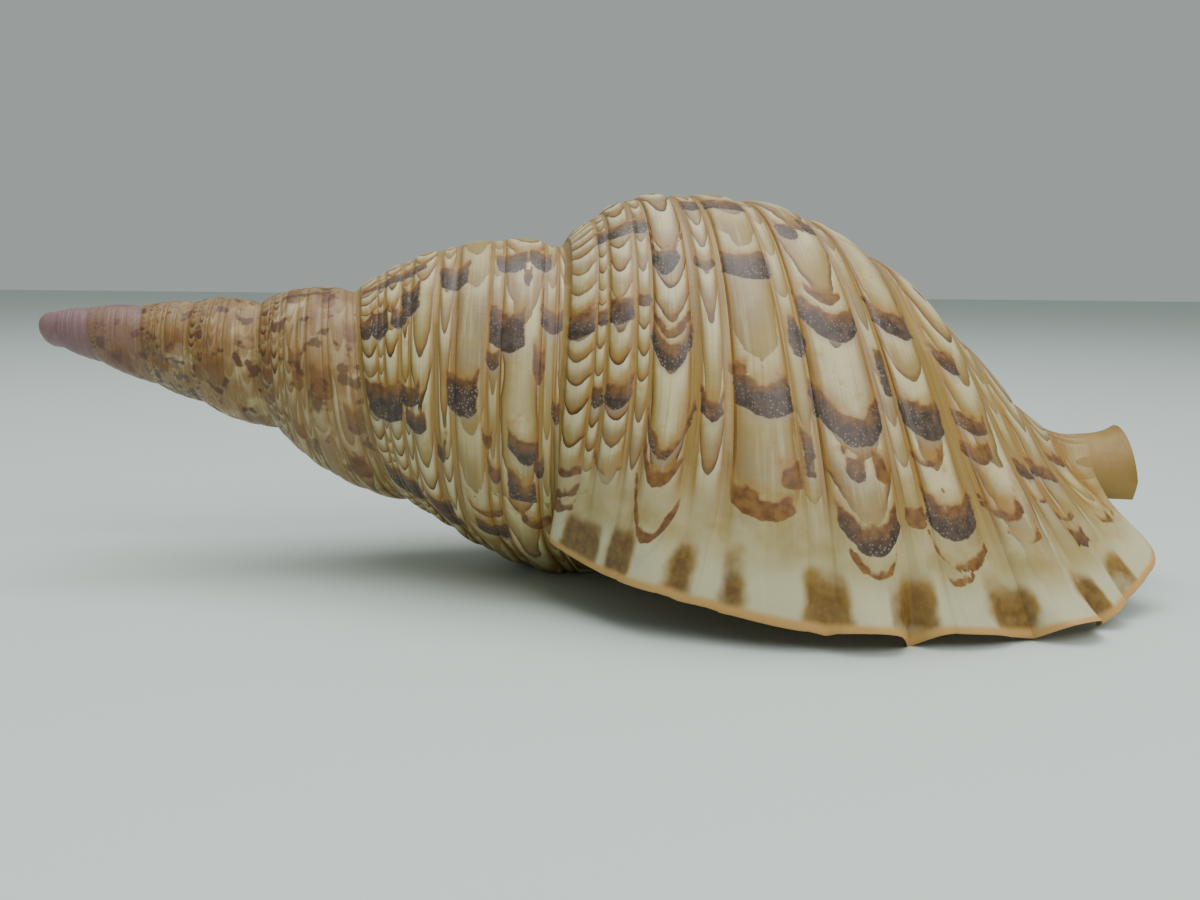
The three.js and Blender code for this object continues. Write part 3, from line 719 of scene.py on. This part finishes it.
# whorls before the last, where marks run over several cords: (middle s, half width, end, length, darkness)
EARLY_MARKS = [
    (0.17, 0.11, -0.915, 0.05, 0.8), (0.15, 0.1, -1.031, 0.043, 0.9), (0.07, 0.04, -1.136, 0.035, 0.8),
    (0.15, 0.048, -1.135, 0.042, 0.9), (0.29, 0.053, -1.056, 0.022, 0.9), (0.243, 0.037, -1.145, 0.031, 0.9),
    (0.394, 0.06, -0.895, 0.035, 0.8), (0.37, 0.064, -0.928, 0.03, 0.7), (0.32, 0.05, -1.031, 0.022, 0.9),
    (0.296, 0.044, -1.161, 0.044, 1), (0.427, 0.024, -1.009, 0.02, 0.6), (0.476, 0.057, -1.187, 0.033, 0.9),
    (0.62, 0.08, -0.928, 0.026, 1), (0.606, 0.073, -0.964, 0.008, 0.35), (0.527, 0.066, -1.061, 0.033, 0.75),
    (0.657, 0.03, -1.011, 0.014, 0.5), (0.631, 0.024, -1.04, 0.013, 0.3), (0.649, 0.032, -1.106, 0.018, 0.8),
    (0.858, 0.08, -0.964, 0.011, 0.35), (0.79, 0.07, -0.998, 0.03, 0.9), (0.878, 0.03, -1.034, 0.016, 0.8),
    (0.8, 0.08, -1.041, 0.019, 1), (0.868, 0.03, -1.102, 0.025, 0.45), (0.711, 0.08, -1.123, 0.037, 0.9),
    (0.79, 0.02, -1.19, 0.023, 0.6), (0.711, 0.07, -1.207, 0.03, 0.8), (0.858, 0.06, -1.216, 0.031, 0.8),
    (0.935, 0.07, -1.146, 0.024, 1), (0.98, 0.03, -1.078, 0.013, 0.6), (0.2, 0.16, -1.225, 0.02, 0.9),
    (0.11, 0.07, -1.947, 0.027, 0.7), (0.13, 0.05, -1.993, 0.02, 0.7), (0.13, 0.05, -2.035, 0.021, 0.8),
    (0.12, 0.06, -2.076, 0.026, 1), (0.13, 0.04, -2.123, 0.023, 0.8), (0.12, 0.045, -2.159, 0.028, 0.9),
    (0.36, 0.05, -1.949, 0.027, 0.4), (0.4, 0.05, -2.075, 0.031, 0.6), (0.36, 0.055, -2.214, 0.06, 0.7),
    (0.42, 0.045, -2.04, 0.031, 0.4), (0.61, 0.09, -2.036, 0.051, 0.45), (0.66, 0.09, -2.199, 0.05, 0.4),
    (0.78, 0.08, -1.911, 0.043, 0.5), (0.87, 0.09, -1.989, 0.045, 0.7), (0.92, 0.09, -2.131, 0.04, 0.8),
    (0.71, 0.14, -2.862, 0.08, 0.7), (0.79, 0.15, -3.099, 0.044, 0.45), (0.42, 0.07, -3.008, 0.037, 0.4),
    (0.3, 0.2, -2.994, 0.07, 0.6), (0.4, 0.2, -3.92, 0.1, 0.45), (0.7, 0.2, -4.05, 0.08, 0.4),
    (0.5, 0.2, -4.9, 0.1, 0.4),
]
# how far a mark's crisp edge bows, in turns
MARK_BOW = {"beads": 0.005, "string": 0.003, "second": 0.006, "yellow": 0.004, "shoulder": 0.02,
            "slim": 0.008, "wide": 0.007, "belly": 0.016, "base one": 0.009, "base two": 0.01,
            "base three": 0.006}
THIN_BOW, EARLY_BOW, MOST_BEND, SIDE_EXTRA = 0.003, 0.008, 2, 0.004
# olive stains along the lip: (from s, to s, darkness)
STAINS = [(0.13, 0.225, 0.95), (0.245, 0.325, 1), (0.405, 0.45, 0.85), (0.49, 0.53, 0.8),
          (0.62, 0.71, 0.7), (0.79, 0.94, 0.7), (1.06, 1.16, 0.75), (1.27, 1.36, 0.8), (1.44, 1.56, 0.65)]
STAIN_SOFT_OUT, STAIN_SOFT_IN, STAIN_START, STAIN_STOP = 0.022, 0.016, -0.040, -0.016
# a whorl's length across from seam to seam, taken as the same for all
ACROSS_MM = 110
# how strongly each cord's scales are rimmed with colour
RIMS = {"beads": 1, "string": 0.9, "second": 1, "yellow": 0.8, "shoulder": 1, "slim": 0.8, "wide": 0.2,
        "belly": 0.75, "base one": 0.85, "base two": 0.85, "base three": 0.7, "neck one": 0.5}
OTHER_RIM = 0.3


def smooth(value, low, high):
    """0 at low, 1 at high, eased at both ends; low may be the larger one."""
    x = np.clip((value - low) / (high - low), 0, 1)
    return x * x * (3 - 2 * x)


def all_marks():
    """Every mark as (middle s, half width, end, length, darkness, bow in turns)."""
    listed = [(*row, EARLY_BOW) for row in EARLY_MARKS]
    for name, entries in MARKS.items():
        a, b = CORDS[name][:2]
        for end, size, dark, *place in entries:
            share, shift = place or (1.0, 0.0)
            mid, half = (a + b) / 2 + shift * (b - a) / 2, share * (b - a) / 2 + SIDE_EXTRA
            listed.append((mid, half, end, size, dark, MARK_BOW.get(name, THIN_BOW) * share))
    return listed


def from_mark(t, s, mark):
    """Distances in mm inside a mark from its crisp end, its start and its sides; negative is out.
    The mark is given as numbers or as one array per entry of all_marks()."""
    mid, half, end, size, _, bow = mark
    turn = 2 * math.pi * outline(t, s)[1]
    x = (s - mid) / half
    bend = bow * np.minimum(x * x, MOST_BEND)
    return (end - bend - t) * turn, (t - end + size + bend) * turn, (1 - np.abs(x)) * half * ACROSS_MM


def nearest_marks(t, s):
    """For every point, all numbers of the mark that it is deepest inside or else nearest to."""
    marks = np.array(all_marks())
    best, which = np.full(t.shape, -np.inf), np.zeros(t.shape, int)
    for k, mark in enumerate(marks):
        near = np.minimum.reduce(from_mark(t, s, mark))
        which[near > best] = k
        best = np.maximum(best, near)
    return marks[which].T


def lip_stain(t, s):
    """Strength of the olive stains: soft sides and a soft start, then full up to the lip's edge."""
    amount = np.zeros(t.shape)
    for a, b, dark in STAINS:
        begin = smooth(s, a - STAIN_SOFT_OUT, a + STAIN_SOFT_IN)
        stop = smooth(s, b + STAIN_SOFT_OUT, b - STAIN_SOFT_IN)
        amount = np.maximum(amount, dark * (begin * stop))
    return amount * smooth(t, STAIN_START, STAIN_STOP)


print(len(all_marks()), "marks and", len(STAINS), "stains on the lip")

# %% [markdown]
# ## The painted outside
# The colour of a triton is laid down scale by scale along each cord: a cream scale ends in a golden
# to dark rim that bows forwards, and the grooves between the cords run on in ochre. Counting scales
# along the cord and bending that count by the square of the place across the cord gives the bowed
# rims. The marks are laid over it with noise on their edges, gold where they start, dark and finely
# speckled where they end, and with a faint lilac shade after the crisp edge.

# %% The colours of the outside
CREAM, CREAM_COOL, CREAM_STREAK = (0.29, 0.205, 0.054), (0.235, 0.165, 0.078), (0.41, 0.34, 0.165)
SCALE_WHITE, STREAK_BROWN, DIRT = (0.58, 0.51, 0.29), (0.30, 0.17, 0.04), (0.32, 0.195, 0.035)
OCHRE_DEEP, OCHRE = (0.19, 0.085, 0.009), (0.32, 0.18, 0.028)
RIM_GOLD, RIM_DARK = (0.26, 0.115, 0.011), (0.065, 0.026, 0.006)
MARK_DARK, MARK_BROWN, MARK_SPECK = (0.034, 0.020, 0.013), (0.082, 0.050, 0.034), (0.22, 0.17, 0.115)
MARK_WARM, MARK_GOLD = (0.12, 0.043, 0.007), (0.22, 0.10, 0.018)
GOLD_BEFORE, LILAC_AFTER = (0.31, 0.155, 0.022), (0.27, 0.21, 0.16)
TAN_DEEP, TAN, TAN_DARK = (0.175, 0.078, 0.015), (0.245, 0.13, 0.042), (0.12, 0.045, 0.010)
TAN_PALE, SPOT_BROWN, GREY = (0.40, 0.30, 0.14), (0.07, 0.020, 0.006), (0.075, 0.055, 0.055)
DROP_WARM, DROP_DARK = (0.15, 0.055, 0.010), (0.05, 0.020, 0.012)
TIP_LILAC, TIP_ROSE = (0.25, 0.15, 0.16), (0.19, 0.10, 0.115)
LIP_CREAM, LIP_PALE, LIP_WHITE = (0.36, 0.28, 0.10), (0.50, 0.44, 0.23), (0.60, 0.57, 0.36)
OLIVE_DEEP, OLIVE, OLIVE_GOLD = (0.11, 0.050, 0.006), (0.20, 0.115, 0.020), (0.27, 0.145, 0.016)
EDGE_ORANGE, BARE_DEEP, BARE = (0.50, 0.28, 0.08), (0.235, 0.13, 0.020), (0.30, 0.19, 0.040)


class Outside(Graph):
    """The outside's graph with what its layers share: the numbers of the UV maps, a few noises, and
    for each scale its running number, the place along it (f) and two throws of the dice."""

    def __init__(self):
        super().__init__("shell outside")
        self.t, self.s = self.uv("grow")
        self.band, self.x = self.uv("band")
        self.count, self.bow = self.uv("scale")
        self.crisp, self.start = self.uv("mark")
        self.side, self.tone = self.uv("side")
        self.rims, self.stain = self.uv("ink")
        self.spot = self.add("ShaderNodeTexCoord", out=3)
        self.x2 = self.times(self.x, self.x)
        self.soft = self.noise(self.spot, 90, 3)
        self.fine = self.noise(self.spot, 420, 3)
        self.broad = self.noise(self.spot, 26, 2)
        self.streak = self.streaks(self.t, self.s, 14.0, 150.0, 4)
        self.wide_streak = self.streaks(self.t, self.s, 9.0, 38.0, 3)
        bent = self.plus(self.line(self.bow, self.x2, self.count), self.line(self.soft, 0.7, -0.35))
        cell = self.math("FLOOR", bent)
        self.f = self.math("FRACT", bent)
        self.dice = self.throw(self.vector(cell, self.band))
        self.dice2 = self.throw(self.vector(cell, self.plus(self.band, 40.0)))
        self.lip = self.step(self.t, -0.07, -0.03)
        self.fresh = self.line(self.step(self.t, -2.4, -1.5), 0.8, 0.2)

    def throw(self, vector):
        """The same chance number from 0 to 1 wherever the vector is the same."""
        return self.add("ShaderNodeTexWhiteNoise", {0: vector}, noise_dimensions="2D")


print("cream ground:", CREAM, "orange edge:", EDGE_ORANGE)

# %% [markdown]
# ## Ground and scale rims
# Under everything lies a cream ground, whitest where each scale starts and ochre in the grooves.
# Every scale ends in a golden rim that turns dark. Its width and strength are thrown by dice, since
# no two scales on a shell are alike. On the old whorls both have worn off.

# %% The first two layers


def ground_coat(g):
    """Cream with pale streaks, white at each scale's start, brown streaks and dirt, and ochre grooves
    where the squared place across the cord is near 1 or where there is no cord."""
    cream = g.mix(g.step(g.broad, 0.4, 0.62), CREAM, CREAM_COOL)
    cream = g.mix(g.step(g.wide_streak, 0.5, 0.75), cream, CREAM_STREAK)
    fade = g.times(g.line(g.rims, 0.55, 0.4), g.rest(g.lip), g.step(g.band, NO_CORD - 0.5, NO_CORD - 1.5))
    white = g.mix(g.times(g.step(g.f, 0.75, 0.05), fade), cream, SCALE_WHITE)
    white = g.mix(g.times(g.step(g.streak, 0.5, 0.72), 0.5), white, STREAK_BROWN)
    no_cord = g.step(g.band, NO_CORD - 0.5, NO_CORD + 0.5)
    groove = g.times(g.math("MAXIMUM", g.step(g.x2, 0.42, 0.95), no_cord), g.fresh)
    ochre = g.mix(g.step(g.streak, 0.35, 0.65), OCHRE_DEEP, OCHRE)
    dirt = g.step(g.noise(g.spot, 150, 4, 0.65), 0.54, 0.70)
    white = g.mix(g.times(dirt, 0.55), white, DIRT)
    return g.mix(g.times(groove, g.step(g.wide_streak, 0.2, 0.5)), white, ochre)


def scale_rims(g, painted):
    """A rim over the last part of each scale, wider off the cord's middle and dark at its end."""
    width = g.line(g.x2, 0.16, g.line(g.dice2, 0.26, 0.2))
    into = g.math("DIVIDE", g.math("SUBTRACT", g.f, g.rest(width)), width)
    strength = g.line(g.step(g.dice, 0.1, 0.5), 0.45, 0.55)
    rim = g.times(g.step(into, 0.0, 0.7), g.rims, strength, g.fresh, g.step(g.x2, 1.15, 0.7))
    golden = g.mix(g.step(g.f, 0.80, 0.97), RIM_GOLD, RIM_DARK)
    return g.mix(rim, painted, golden)


# %% [markdown]
# ## The brown marks
# The distances in the UV maps are clean lines, so noise is added to them until the edges look
# painted. From the same distances come the gold before a mark, the mark itself and the lilac shade
# after its crisp edge. Where the photograph shows nothing, dice choose scales with dark ends.

# %% The marks and the dark scales of the far side


def mark_colours(g):
    """The dark brown with its pale specks, and the warm brown of faint marks."""
    speck = g.add("ShaderNodeTexVoronoi", {"Vector": g.spot, "Scale": 1150.0}, feature="F1")
    dark = g.mix(g.step(g.fine, 0.3, 0.7), MARK_DARK, MARK_BROWN)
    dark = g.mix(g.times(g.step(speck, 0.38, 0.16), g.step(g.soft, 0.30, 0.62)), dark, MARK_SPECK)
    return dark, g.mix(g.step(g.fine, 0.3, 0.7), MARK_WARM, MARK_GOLD)


def marks(g, painted, dark, warm):
    """Gold before, body and shade after each mark, from its ragged distances in mm. Returns the
    colour and how much of the place is a mark."""
    large = g.line(g.noise(g.spot, 120, 2), 4.4, -2.2)
    ragged = g.line(g.noise(g.spot, 330, 3), 2.8, g.math("SUBTRACT", large, 1.4))
    crisp = g.plus(g.crisp, g.times(ragged, 0.55))
    start = g.plus(g.start, g.times(ragged, 1.5))
    side = g.plus(g.side, g.times(ragged, 0.9))
    body = g.times(g.step(crisp, -0.15, 0.25), g.step(start, -0.6, 0.9), g.step(side, -0.3, 0.5))
    before = g.times(g.step(start, -4.0, 0.5), g.step(crisp, -0.2, 0.6), g.step(side, -1.8, 0.8))
    after = g.times(g.step(crisp, -2.6, 0.0), g.step(side, -0.5, 2.0), g.step(start, 0.0, 1.0))
    young = g.mix(g.times(g.step(start, 5.0, 0.2), 0.85), dark, warm)
    blot = g.mix(g.step(g.tone, 0.3, 0.75), warm, young)
    painted = g.mix(g.times(after, g.step(g.tone, 0.3, 0.7), 0.5), painted, LILAC_AFTER)
    painted = g.mix(g.times(before, 0.65), painted, GOLD_BEFORE)
    return g.mix(body, painted, blot), body


def far_side(g, painted, dark, warm):
    """Dark ends of chosen scales, only in the part of each turn that the photograph doesn't show."""
    around = g.math("FRACT", g.plus(g.t, 10.0))
    unseen = g.times(g.step(around, 0.2, 0.26), g.step(around, 0.7, 0.64))
    chosen = g.times(g.step(g.dice, 0.66, 0.68), g.step(g.f, 0.34, 0.5), g.step(g.x2, 1.1, 0.8))
    return g.mix(g.times(chosen, unseen), painted, g.mix(g.step(g.f, 0.42, 0.62), warm, dark))


# %% [markdown]
# ## Old spire, lip and canal
# The oldest whorls have lost their glaze: they are tan with brown spots and drops, and the very tip
# is lilac. The lip is the newest part, pale and stained olive at its teeth, with an orange edge. The
# canal is bare and honey coloured.

# %% The layers of the two ends


def worn_spire(g, painted):
    """Tan over the early whorls, spots and drops on it, a grey ring, and lilac towards the tip."""
    worn = g.step(g.t, -1.5, -2.3)
    tan = g.mix(g.step(g.broad, 0.4, 0.62), TAN_DEEP, TAN)
    tan = g.mix(g.step(g.soft, 0.55, 0.72), tan, TAN_DARK)
    tan = g.mix(g.step(g.soft, 0.44, 0.32), tan, TAN_PALE)
    painted = g.mix(g.times(worn, g.line(g.step(g.soft, 0.3, 0.6), 0.3, 0.5)), painted, tan)
    spots = g.times(g.step(g.noise(g.spot, 210, 2), 0.57, 0.64), worn)
    painted = g.mix(g.times(spots, 0.85), painted, SPOT_BROWN)
    drops = g.times(g.step(g.dice, 0.62, 0.7), g.step(g.f, 0.35, 0.75), g.step(g.x2, 0.8, 0.3), worn)
    dark_drop = g.mix(g.step(g.f, 0.5, 0.9), DROP_WARM, DROP_DARK)
    painted = g.mix(g.times(drops, g.step(g.band, 3.5, 2.5)), painted, dark_drop)
    ring = g.times(g.step(g.t, -4.15, -3.95), g.step(g.t, -3.55, -3.75), g.step(g.fine, 0.5, 0.56))
    painted = g.mix(g.times(ring, 0.8), painted, GREY)
    uneven = g.plus(g.t, g.line(g.soft, 2.4, -1.2))
    lilac = g.times(g.step(uneven, -4.2, -4.6), g.step(g.broad, 0.40, 0.58))
    painted = g.mix(lilac, painted, TIP_LILAC)
    return g.mix(g.times(g.step(uneven, -4.2, -5.8), 0.9), painted, TIP_ROSE)


def lip_and_canal(g, painted, body):
    """A pale lip between the marks, its olive stains, the orange edge and the bare canal."""
    pale = g.mix(g.step(g.soft, 0.35, 0.65), LIP_CREAM, LIP_PALE)
    pale = g.mix(g.step(g.t, -0.036, -0.014), pale, LIP_WHITE)
    painted = g.mix(g.times(g.lip, 0.75, g.rest(body)), painted, pale)
    olive = g.mix(g.step(g.fine, 0.3, 0.7), OLIVE_DEEP, OLIVE)
    olive = g.mix(g.step(g.stain, 0.9, 0.3), olive, OLIVE_GOLD)
    patchy = g.step(g.line(g.math("SUBTRACT", g.soft, 0.5), 1.3, g.stain), 0.2, 0.75)
    painted = g.mix(g.times(patchy, g.step(g.stain, 0.02, 0.2)), painted, olive)
    painted = g.mix(g.step(g.t, -0.0065, -0.003), painted, EDGE_ORANGE)
    bare = g.mix(g.step(g.soft, 0.3, 0.7), BARE_DEEP, BARE)
    return g.mix(g.step(g.s, 1.85, 2.05), painted, bare)


# %% [markdown]
# ## Gloss and fine relief
# The layers go on in the order in which they lie on the shell. The outside is only half polished, so
# the gloss is low and uneven. Fine growth lines and spiral threads are too small for the mesh and
# are given to the light alone, as a bump.

# %% Material of the outside


def outside():
    """All layers of paint, a low gloss, and a bump of growth lines, spiral threads and scale ends."""
    g = Outside()
    dark, warm = mark_colours(g)
    painted, body = marks(g, scale_rims(g, ground_coat(g)), dark, warm)
    painted = worn_spire(g, far_side(g, painted, dark, warm))
    g.put(g.shader.inputs["Base Color"], lip_and_canal(g, painted, body))
    g.put(g.shader.inputs["Roughness"], g.line(g.fine, 0.25, 0.37))
    g.put(g.shader.inputs["Coat Weight"], 0.05)
    g.put(g.shader.inputs["Coat Roughness"], 0.15)
    ripple = g.streaks(g.t, g.s, 260.0, 10.0, 3)
    thread = g.streaks(g.t, g.s, 4.0, 140.0, 3)
    height = g.plus(g.times(ripple, 0.5), g.times(thread, 0.6))
    height = g.plus(height, g.times(g.step(g.f, 0.7, 0.98), g.rims, 0.35))
    bump = g.add("ShaderNodeBump", {"Strength": 0.35, "Distance": 0.0005, "Height": height})
    g.put(g.shader.inputs["Normal"], bump)
    return g.material


# %% [markdown]
# ## The porcelain inside
# The animal polishes the room it lives in, so the inner wall is smooth, glossy and plain: warm
# orange near the lip, cream further in. The old base that shows in the mouth is a little darker
# under its thin glaze. Soft noise and a change along the growth are enough here, without marks.

# %% Material of the inside
PORCELAIN, PORCELAIN_PALE = (0.62, 0.44, 0.22), (0.68, 0.54, 0.33)
MOUTH_ORANGE, INNER_EDGE = (0.62, 0.32, 0.10), (0.62, 0.33, 0.09)
OLD_BROWN, OLD_GOLD = (0.20, 0.08, 0.02), (0.48, 0.27, 0.09)


def inside():
    """Cream that turns orange near the mouth, the old base where s is below 0, and a high gloss."""
    g = Graph("shell inside")
    t, s = g.uv("grow")
    spot = g.add("ShaderNodeTexCoord", out=3)
    soft, fine = g.noise(spot, 60, 3), g.noise(spot, 300, 3)
    deep = g.mix(g.step(soft, 0.3, 0.7), PORCELAIN, PORCELAIN_PALE)
    deep = g.mix(g.step(t, -0.3, -0.08), MOUTH_ORANGE, deep)
    old = g.mix(g.step(soft, 0.35, 0.6), OLD_BROWN, OLD_GOLD)
    colour = g.mix(g.step(s, 0.0, -0.5), deep, old)
    colour = g.mix(g.step(t, -0.012, -0.002), colour, INNER_EDGE)
    g.put(g.shader.inputs["Base Color"], colour)
    g.put(g.shader.inputs["Roughness"], g.line(fine, 0.12, 0.14))
    g.put(g.shader.inputs["Coat Weight"], 0.4)
    bump = g.add("ShaderNodeBump", {"Strength": 0.2, "Distance": 0.0004, "Height": fine})
    g.put(g.shader.inputs["Normal"], bump)
    return g.material


skins = [outside(), inside()]
print("materials:", [m.name for m in skins])

# %% [markdown]
# ## Cutting and setting down
# On the real shell wall and room grow together. Here the room and the canal are taken out of the
# full body with two Boolean modifiers, which keep the growth coordinates and materials of both
# sides. The result is made plain triangles, moved so that it lies where the solid part lies, and
# any corner that is a hair outside the solid part's box is set on the box.

# %% Cut the solids and set the piece down on the solid part's box
piece = mesh_object("shell_skin", form, form_tri, form_uv, skins, 0)
for name, (points, tri, uv) in cutters.items():
    cutter = mesh_object(name, points, tri, uv, skins, 1)
    cut = piece.modifiers.new(name, "BOOLEAN")
    cut.operation, cut.object, cut.solver = "DIFFERENCE", cutter, "MANIFOLD"
cut_mesh = bpy.data.meshes.new_from_object(piece.evaluated_get(bpy.context.evaluated_depsgraph_get()))
piece.modifiers.clear()
piece.data = cut_mesh
work = bmesh.new()
work.from_mesh(cut_mesh)
bmesh.ops.triangulate(work, faces=work.faces)
bmesh.ops.delete(work, geom=[v for v in work.verts if not v.link_faces], context="VERTS")
work.to_mesh(cut_mesh)
work.free()
for name in cutters:
    bpy.data.objects.remove(bpy.data.objects[name])

co = np.zeros(3 * len(cut_mesh.vertices), np.float32)
cut_mesh.vertices.foreach_get("co", co)
co = co.reshape(-1, 3)
low, high = (np.array(v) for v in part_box("shell"))
shift = (low + high) / 2 - (co.min(0) + co.max(0)) / 2
shift[2] = low[2] - co[:, 2].min()
cut_mesh.vertices.foreach_set("co", np.clip(co + shift, low, high).ravel())
print("piece:", len(cut_mesh.polygons), "triangles, size", ((co.max(0) - co.min(0)) * 1000).round(1), "mm")
print("solid part:", ((high - low) * 1000).round(1), "mm, shift", (shift * 1000).round(2), "mm")

# %% [markdown]
# ## Numbers for the paint
# The material can't know by itself where a cord or a mark lies. The animal's mantle does know, as
# it paints at its own edge, so every corner gets the numbers that the paint needs in UV maps: the
# cord and the place across it, the running count of scales, and the distances to its mark.

# %% Numbers for the paint on every corner
PLAIN_SCALES, PLAIN_BOW, COUNT_STEP = 30.0, 0.3, 7.3
# two waves that make the scales uneven: (share of a scale, waves in radians per turn)
SLOW_WAVE, FAST_WAVE = (0.35, 19.0), (0.2, 47.0)
# distances in mm beyond these make no difference to the paint
LEAST_MM, MOST_MM = -9, 40
SHARP_ANGLE = 50 * DEG
grow = np.zeros(2 * len(cut_mesh.loops), np.float32)
cut_mesh.uv_layers["grow"].data.foreach_get("uv", grow)
grow = grow.reshape(-1, 3, 2).astype(float)
middle = grow.mean(1)
band, cross = np.full(len(middle), NO_CORD), np.zeros((len(middle), 3))
count, bow_of = scale_count(grow[:, :, 0], PLAIN_SCALES), np.full((len(middle), 3), PLAIN_BOW)
for k, (a, b, top, per_turn, bow) in enumerate(CORDS.values()):
    on = (middle[:, 1] > a) & (middle[:, 1] < b)
    band[on] = k
    cross[on] = (2 * grow[on, :, 1] - a - b) / (b - a)
    slow = SLOW_WAVE[0] * np.sin(grow[on, :, 0] * (SLOW_WAVE[1] + k) + k)
    fast = FAST_WAVE[0] * np.sin(grow[on, :, 0] * FAST_WAVE[1] + 2 * k)
    count[on] = scale_count(grow[on, :, 0], per_turn) + (slow + fast) + COUNT_STEP * k
    bow_of[on] = bow


def paint_map(name, first, second):
    """A UV map that carries two numbers per corner to the material."""
    pair = np.stack(np.broadcast_arrays(first, second), -1).astype(np.float32)
    cut_mesh.uv_layers.new(name=name).data.foreach_set("uv", pair.ravel())


paint_map("band", np.repeat(band[:, None], 3, 1), cross)
paint_map("scale", count, bow_of)
own_mark = nearest_marks(middle[:, 0], middle[:, 1])[:, :, None]
edges = from_mark(grow[:, :, 0], grow[:, :, 1], own_mark)
crisp, start, side = (np.clip(edge, LEAST_MM, MOST_MM) for edge in edges)
paint_map("mark", crisp, start)
paint_map("side", side, own_mark[4])
rim_of = {k: RIMS.get(name, OTHER_RIM) for k, name in enumerate(CORDS)}
rims = np.array([rim_of.get(k, 0.0) for k in range(int(NO_CORD) + 1)])[band.astype(int)]
paint_map("ink", rims[:, None], lip_stain(grow[:, :, 0], grow[:, :, 1]))
cut_mesh.polygons.foreach_set("use_smooth", np.ones(len(cut_mesh.polygons), bool))
cut_mesh.set_sharp_from_angle(angle=SHARP_ANGLE)
cut_mesh.update()
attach(piece, "root")
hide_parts("shell")

# %% [markdown]
# ## Floor, light and camera
# The shell lies on a plain pale floor. Most light is broad and soft and comes from above, and a
# smaller lamp adds some from the front right, so that the gloss shows along the cords. The camera's
# place was fitted to landmarks read from the photograph.

# %% Floor, light and camera
FLOOR_HALF, FLOOR_COLOUR, FLOOR_ROUGH = 3, (0.57, 0.64, 0.60), 0.6
ROOM_COLOUR, ROOM_LIGHT = (0.70, 0.77, 0.74), 0.5
AIM = (0, 0, 0.05)
SKY_PLACE, SKY_SIZE, SKY_POWER, SKY_COLOUR = (0.0, 0.1, 1.3), 1.1, 18, (0.95, 0.98, 1.0)
WINDOW_PLACE, WINDOW_SIZE, WINDOW_POWER, WINDOW_COLOUR = (0.45, -0.75, 0.85), 0.7, 8, (1.0, 0.98, 0.95)
CAMERA_RAW, CAMERA_DOWN, CAMERA_ROLL = np.array([0.1684, -0.3844, 0.0206]), 8.45 * DEG, 0.58 * DEG
FILM_WIDTH, PICTURE_WIDTH_PX, FOCAL_LENGTH_PX = 36, 1200, 1281

h = FLOOR_HALF
floor_mesh = bpy.data.meshes.new("floor")
floor_mesh.from_pydata([(-h, -h, 0), (h, -h, 0), (h, h, 0), (-h, h, 0)], [], [(0, 1, 2, 3)])
floor = bpy.data.objects.new("floor", floor_mesh)
bpy.context.scene.collection.objects.link(floor)
ground = Graph("floor")
ground.put(ground.shader.inputs["Base Color"], FLOOR_COLOUR)
ground.put(ground.shader.inputs["Roughness"], FLOOR_ROUGH)
floor_mesh.materials.append(ground.material)


def lamp(name, place, size, power, colour):
    """A square soft light at a place, turned so that its -Z faces AIM."""
    data = bpy.data.lights.new(name, "AREA")
    data.size, data.energy, data.color = size, power, colour
    light = bpy.data.objects.new(name, data)
    light.location = place
    light.rotation_euler = (Vector(AIM) - Vector(place)).to_track_quat("-Z", "Y").to_euler()
    bpy.context.scene.collection.objects.link(light)


lamp("sky", SKY_PLACE, SKY_SIZE, SKY_POWER, SKY_COLOUR)
lamp("window", WINDOW_PLACE, WINDOW_SIZE, WINDOW_POWER, WINDOW_COLOUR)
world = bpy.data.worlds.new("room")
bpy.context.scene.world = world
world.use_nodes = True
world.node_tree.nodes["Background"].inputs[0].default_value = (*ROOM_COLOUR, 1)
world.node_tree.nodes["Background"].inputs[1].default_value = ROOM_LIGHT

camera_data = bpy.data.cameras.new("camera")
camera = bpy.data.objects.new("camera", camera_data)
bpy.context.scene.collection.objects.link(camera)
bpy.context.scene.camera = camera
camera_data.lens = FILM_WIDTH * FOCAL_LENGTH_PX / PICTURE_WIDTH_PX
camera_data.sensor_width = FILM_WIDTH
camera.location = CAMERA_RAW + shift
look = Matrix.Rotation(math.pi / 2 - CAMERA_DOWN, 3, "X") @ Matrix.Rotation(CAMERA_ROLL, 3, "Z")
camera.rotation_euler = look.to_euler()
print("camera at", [round(v, 4) for v in camera.location])
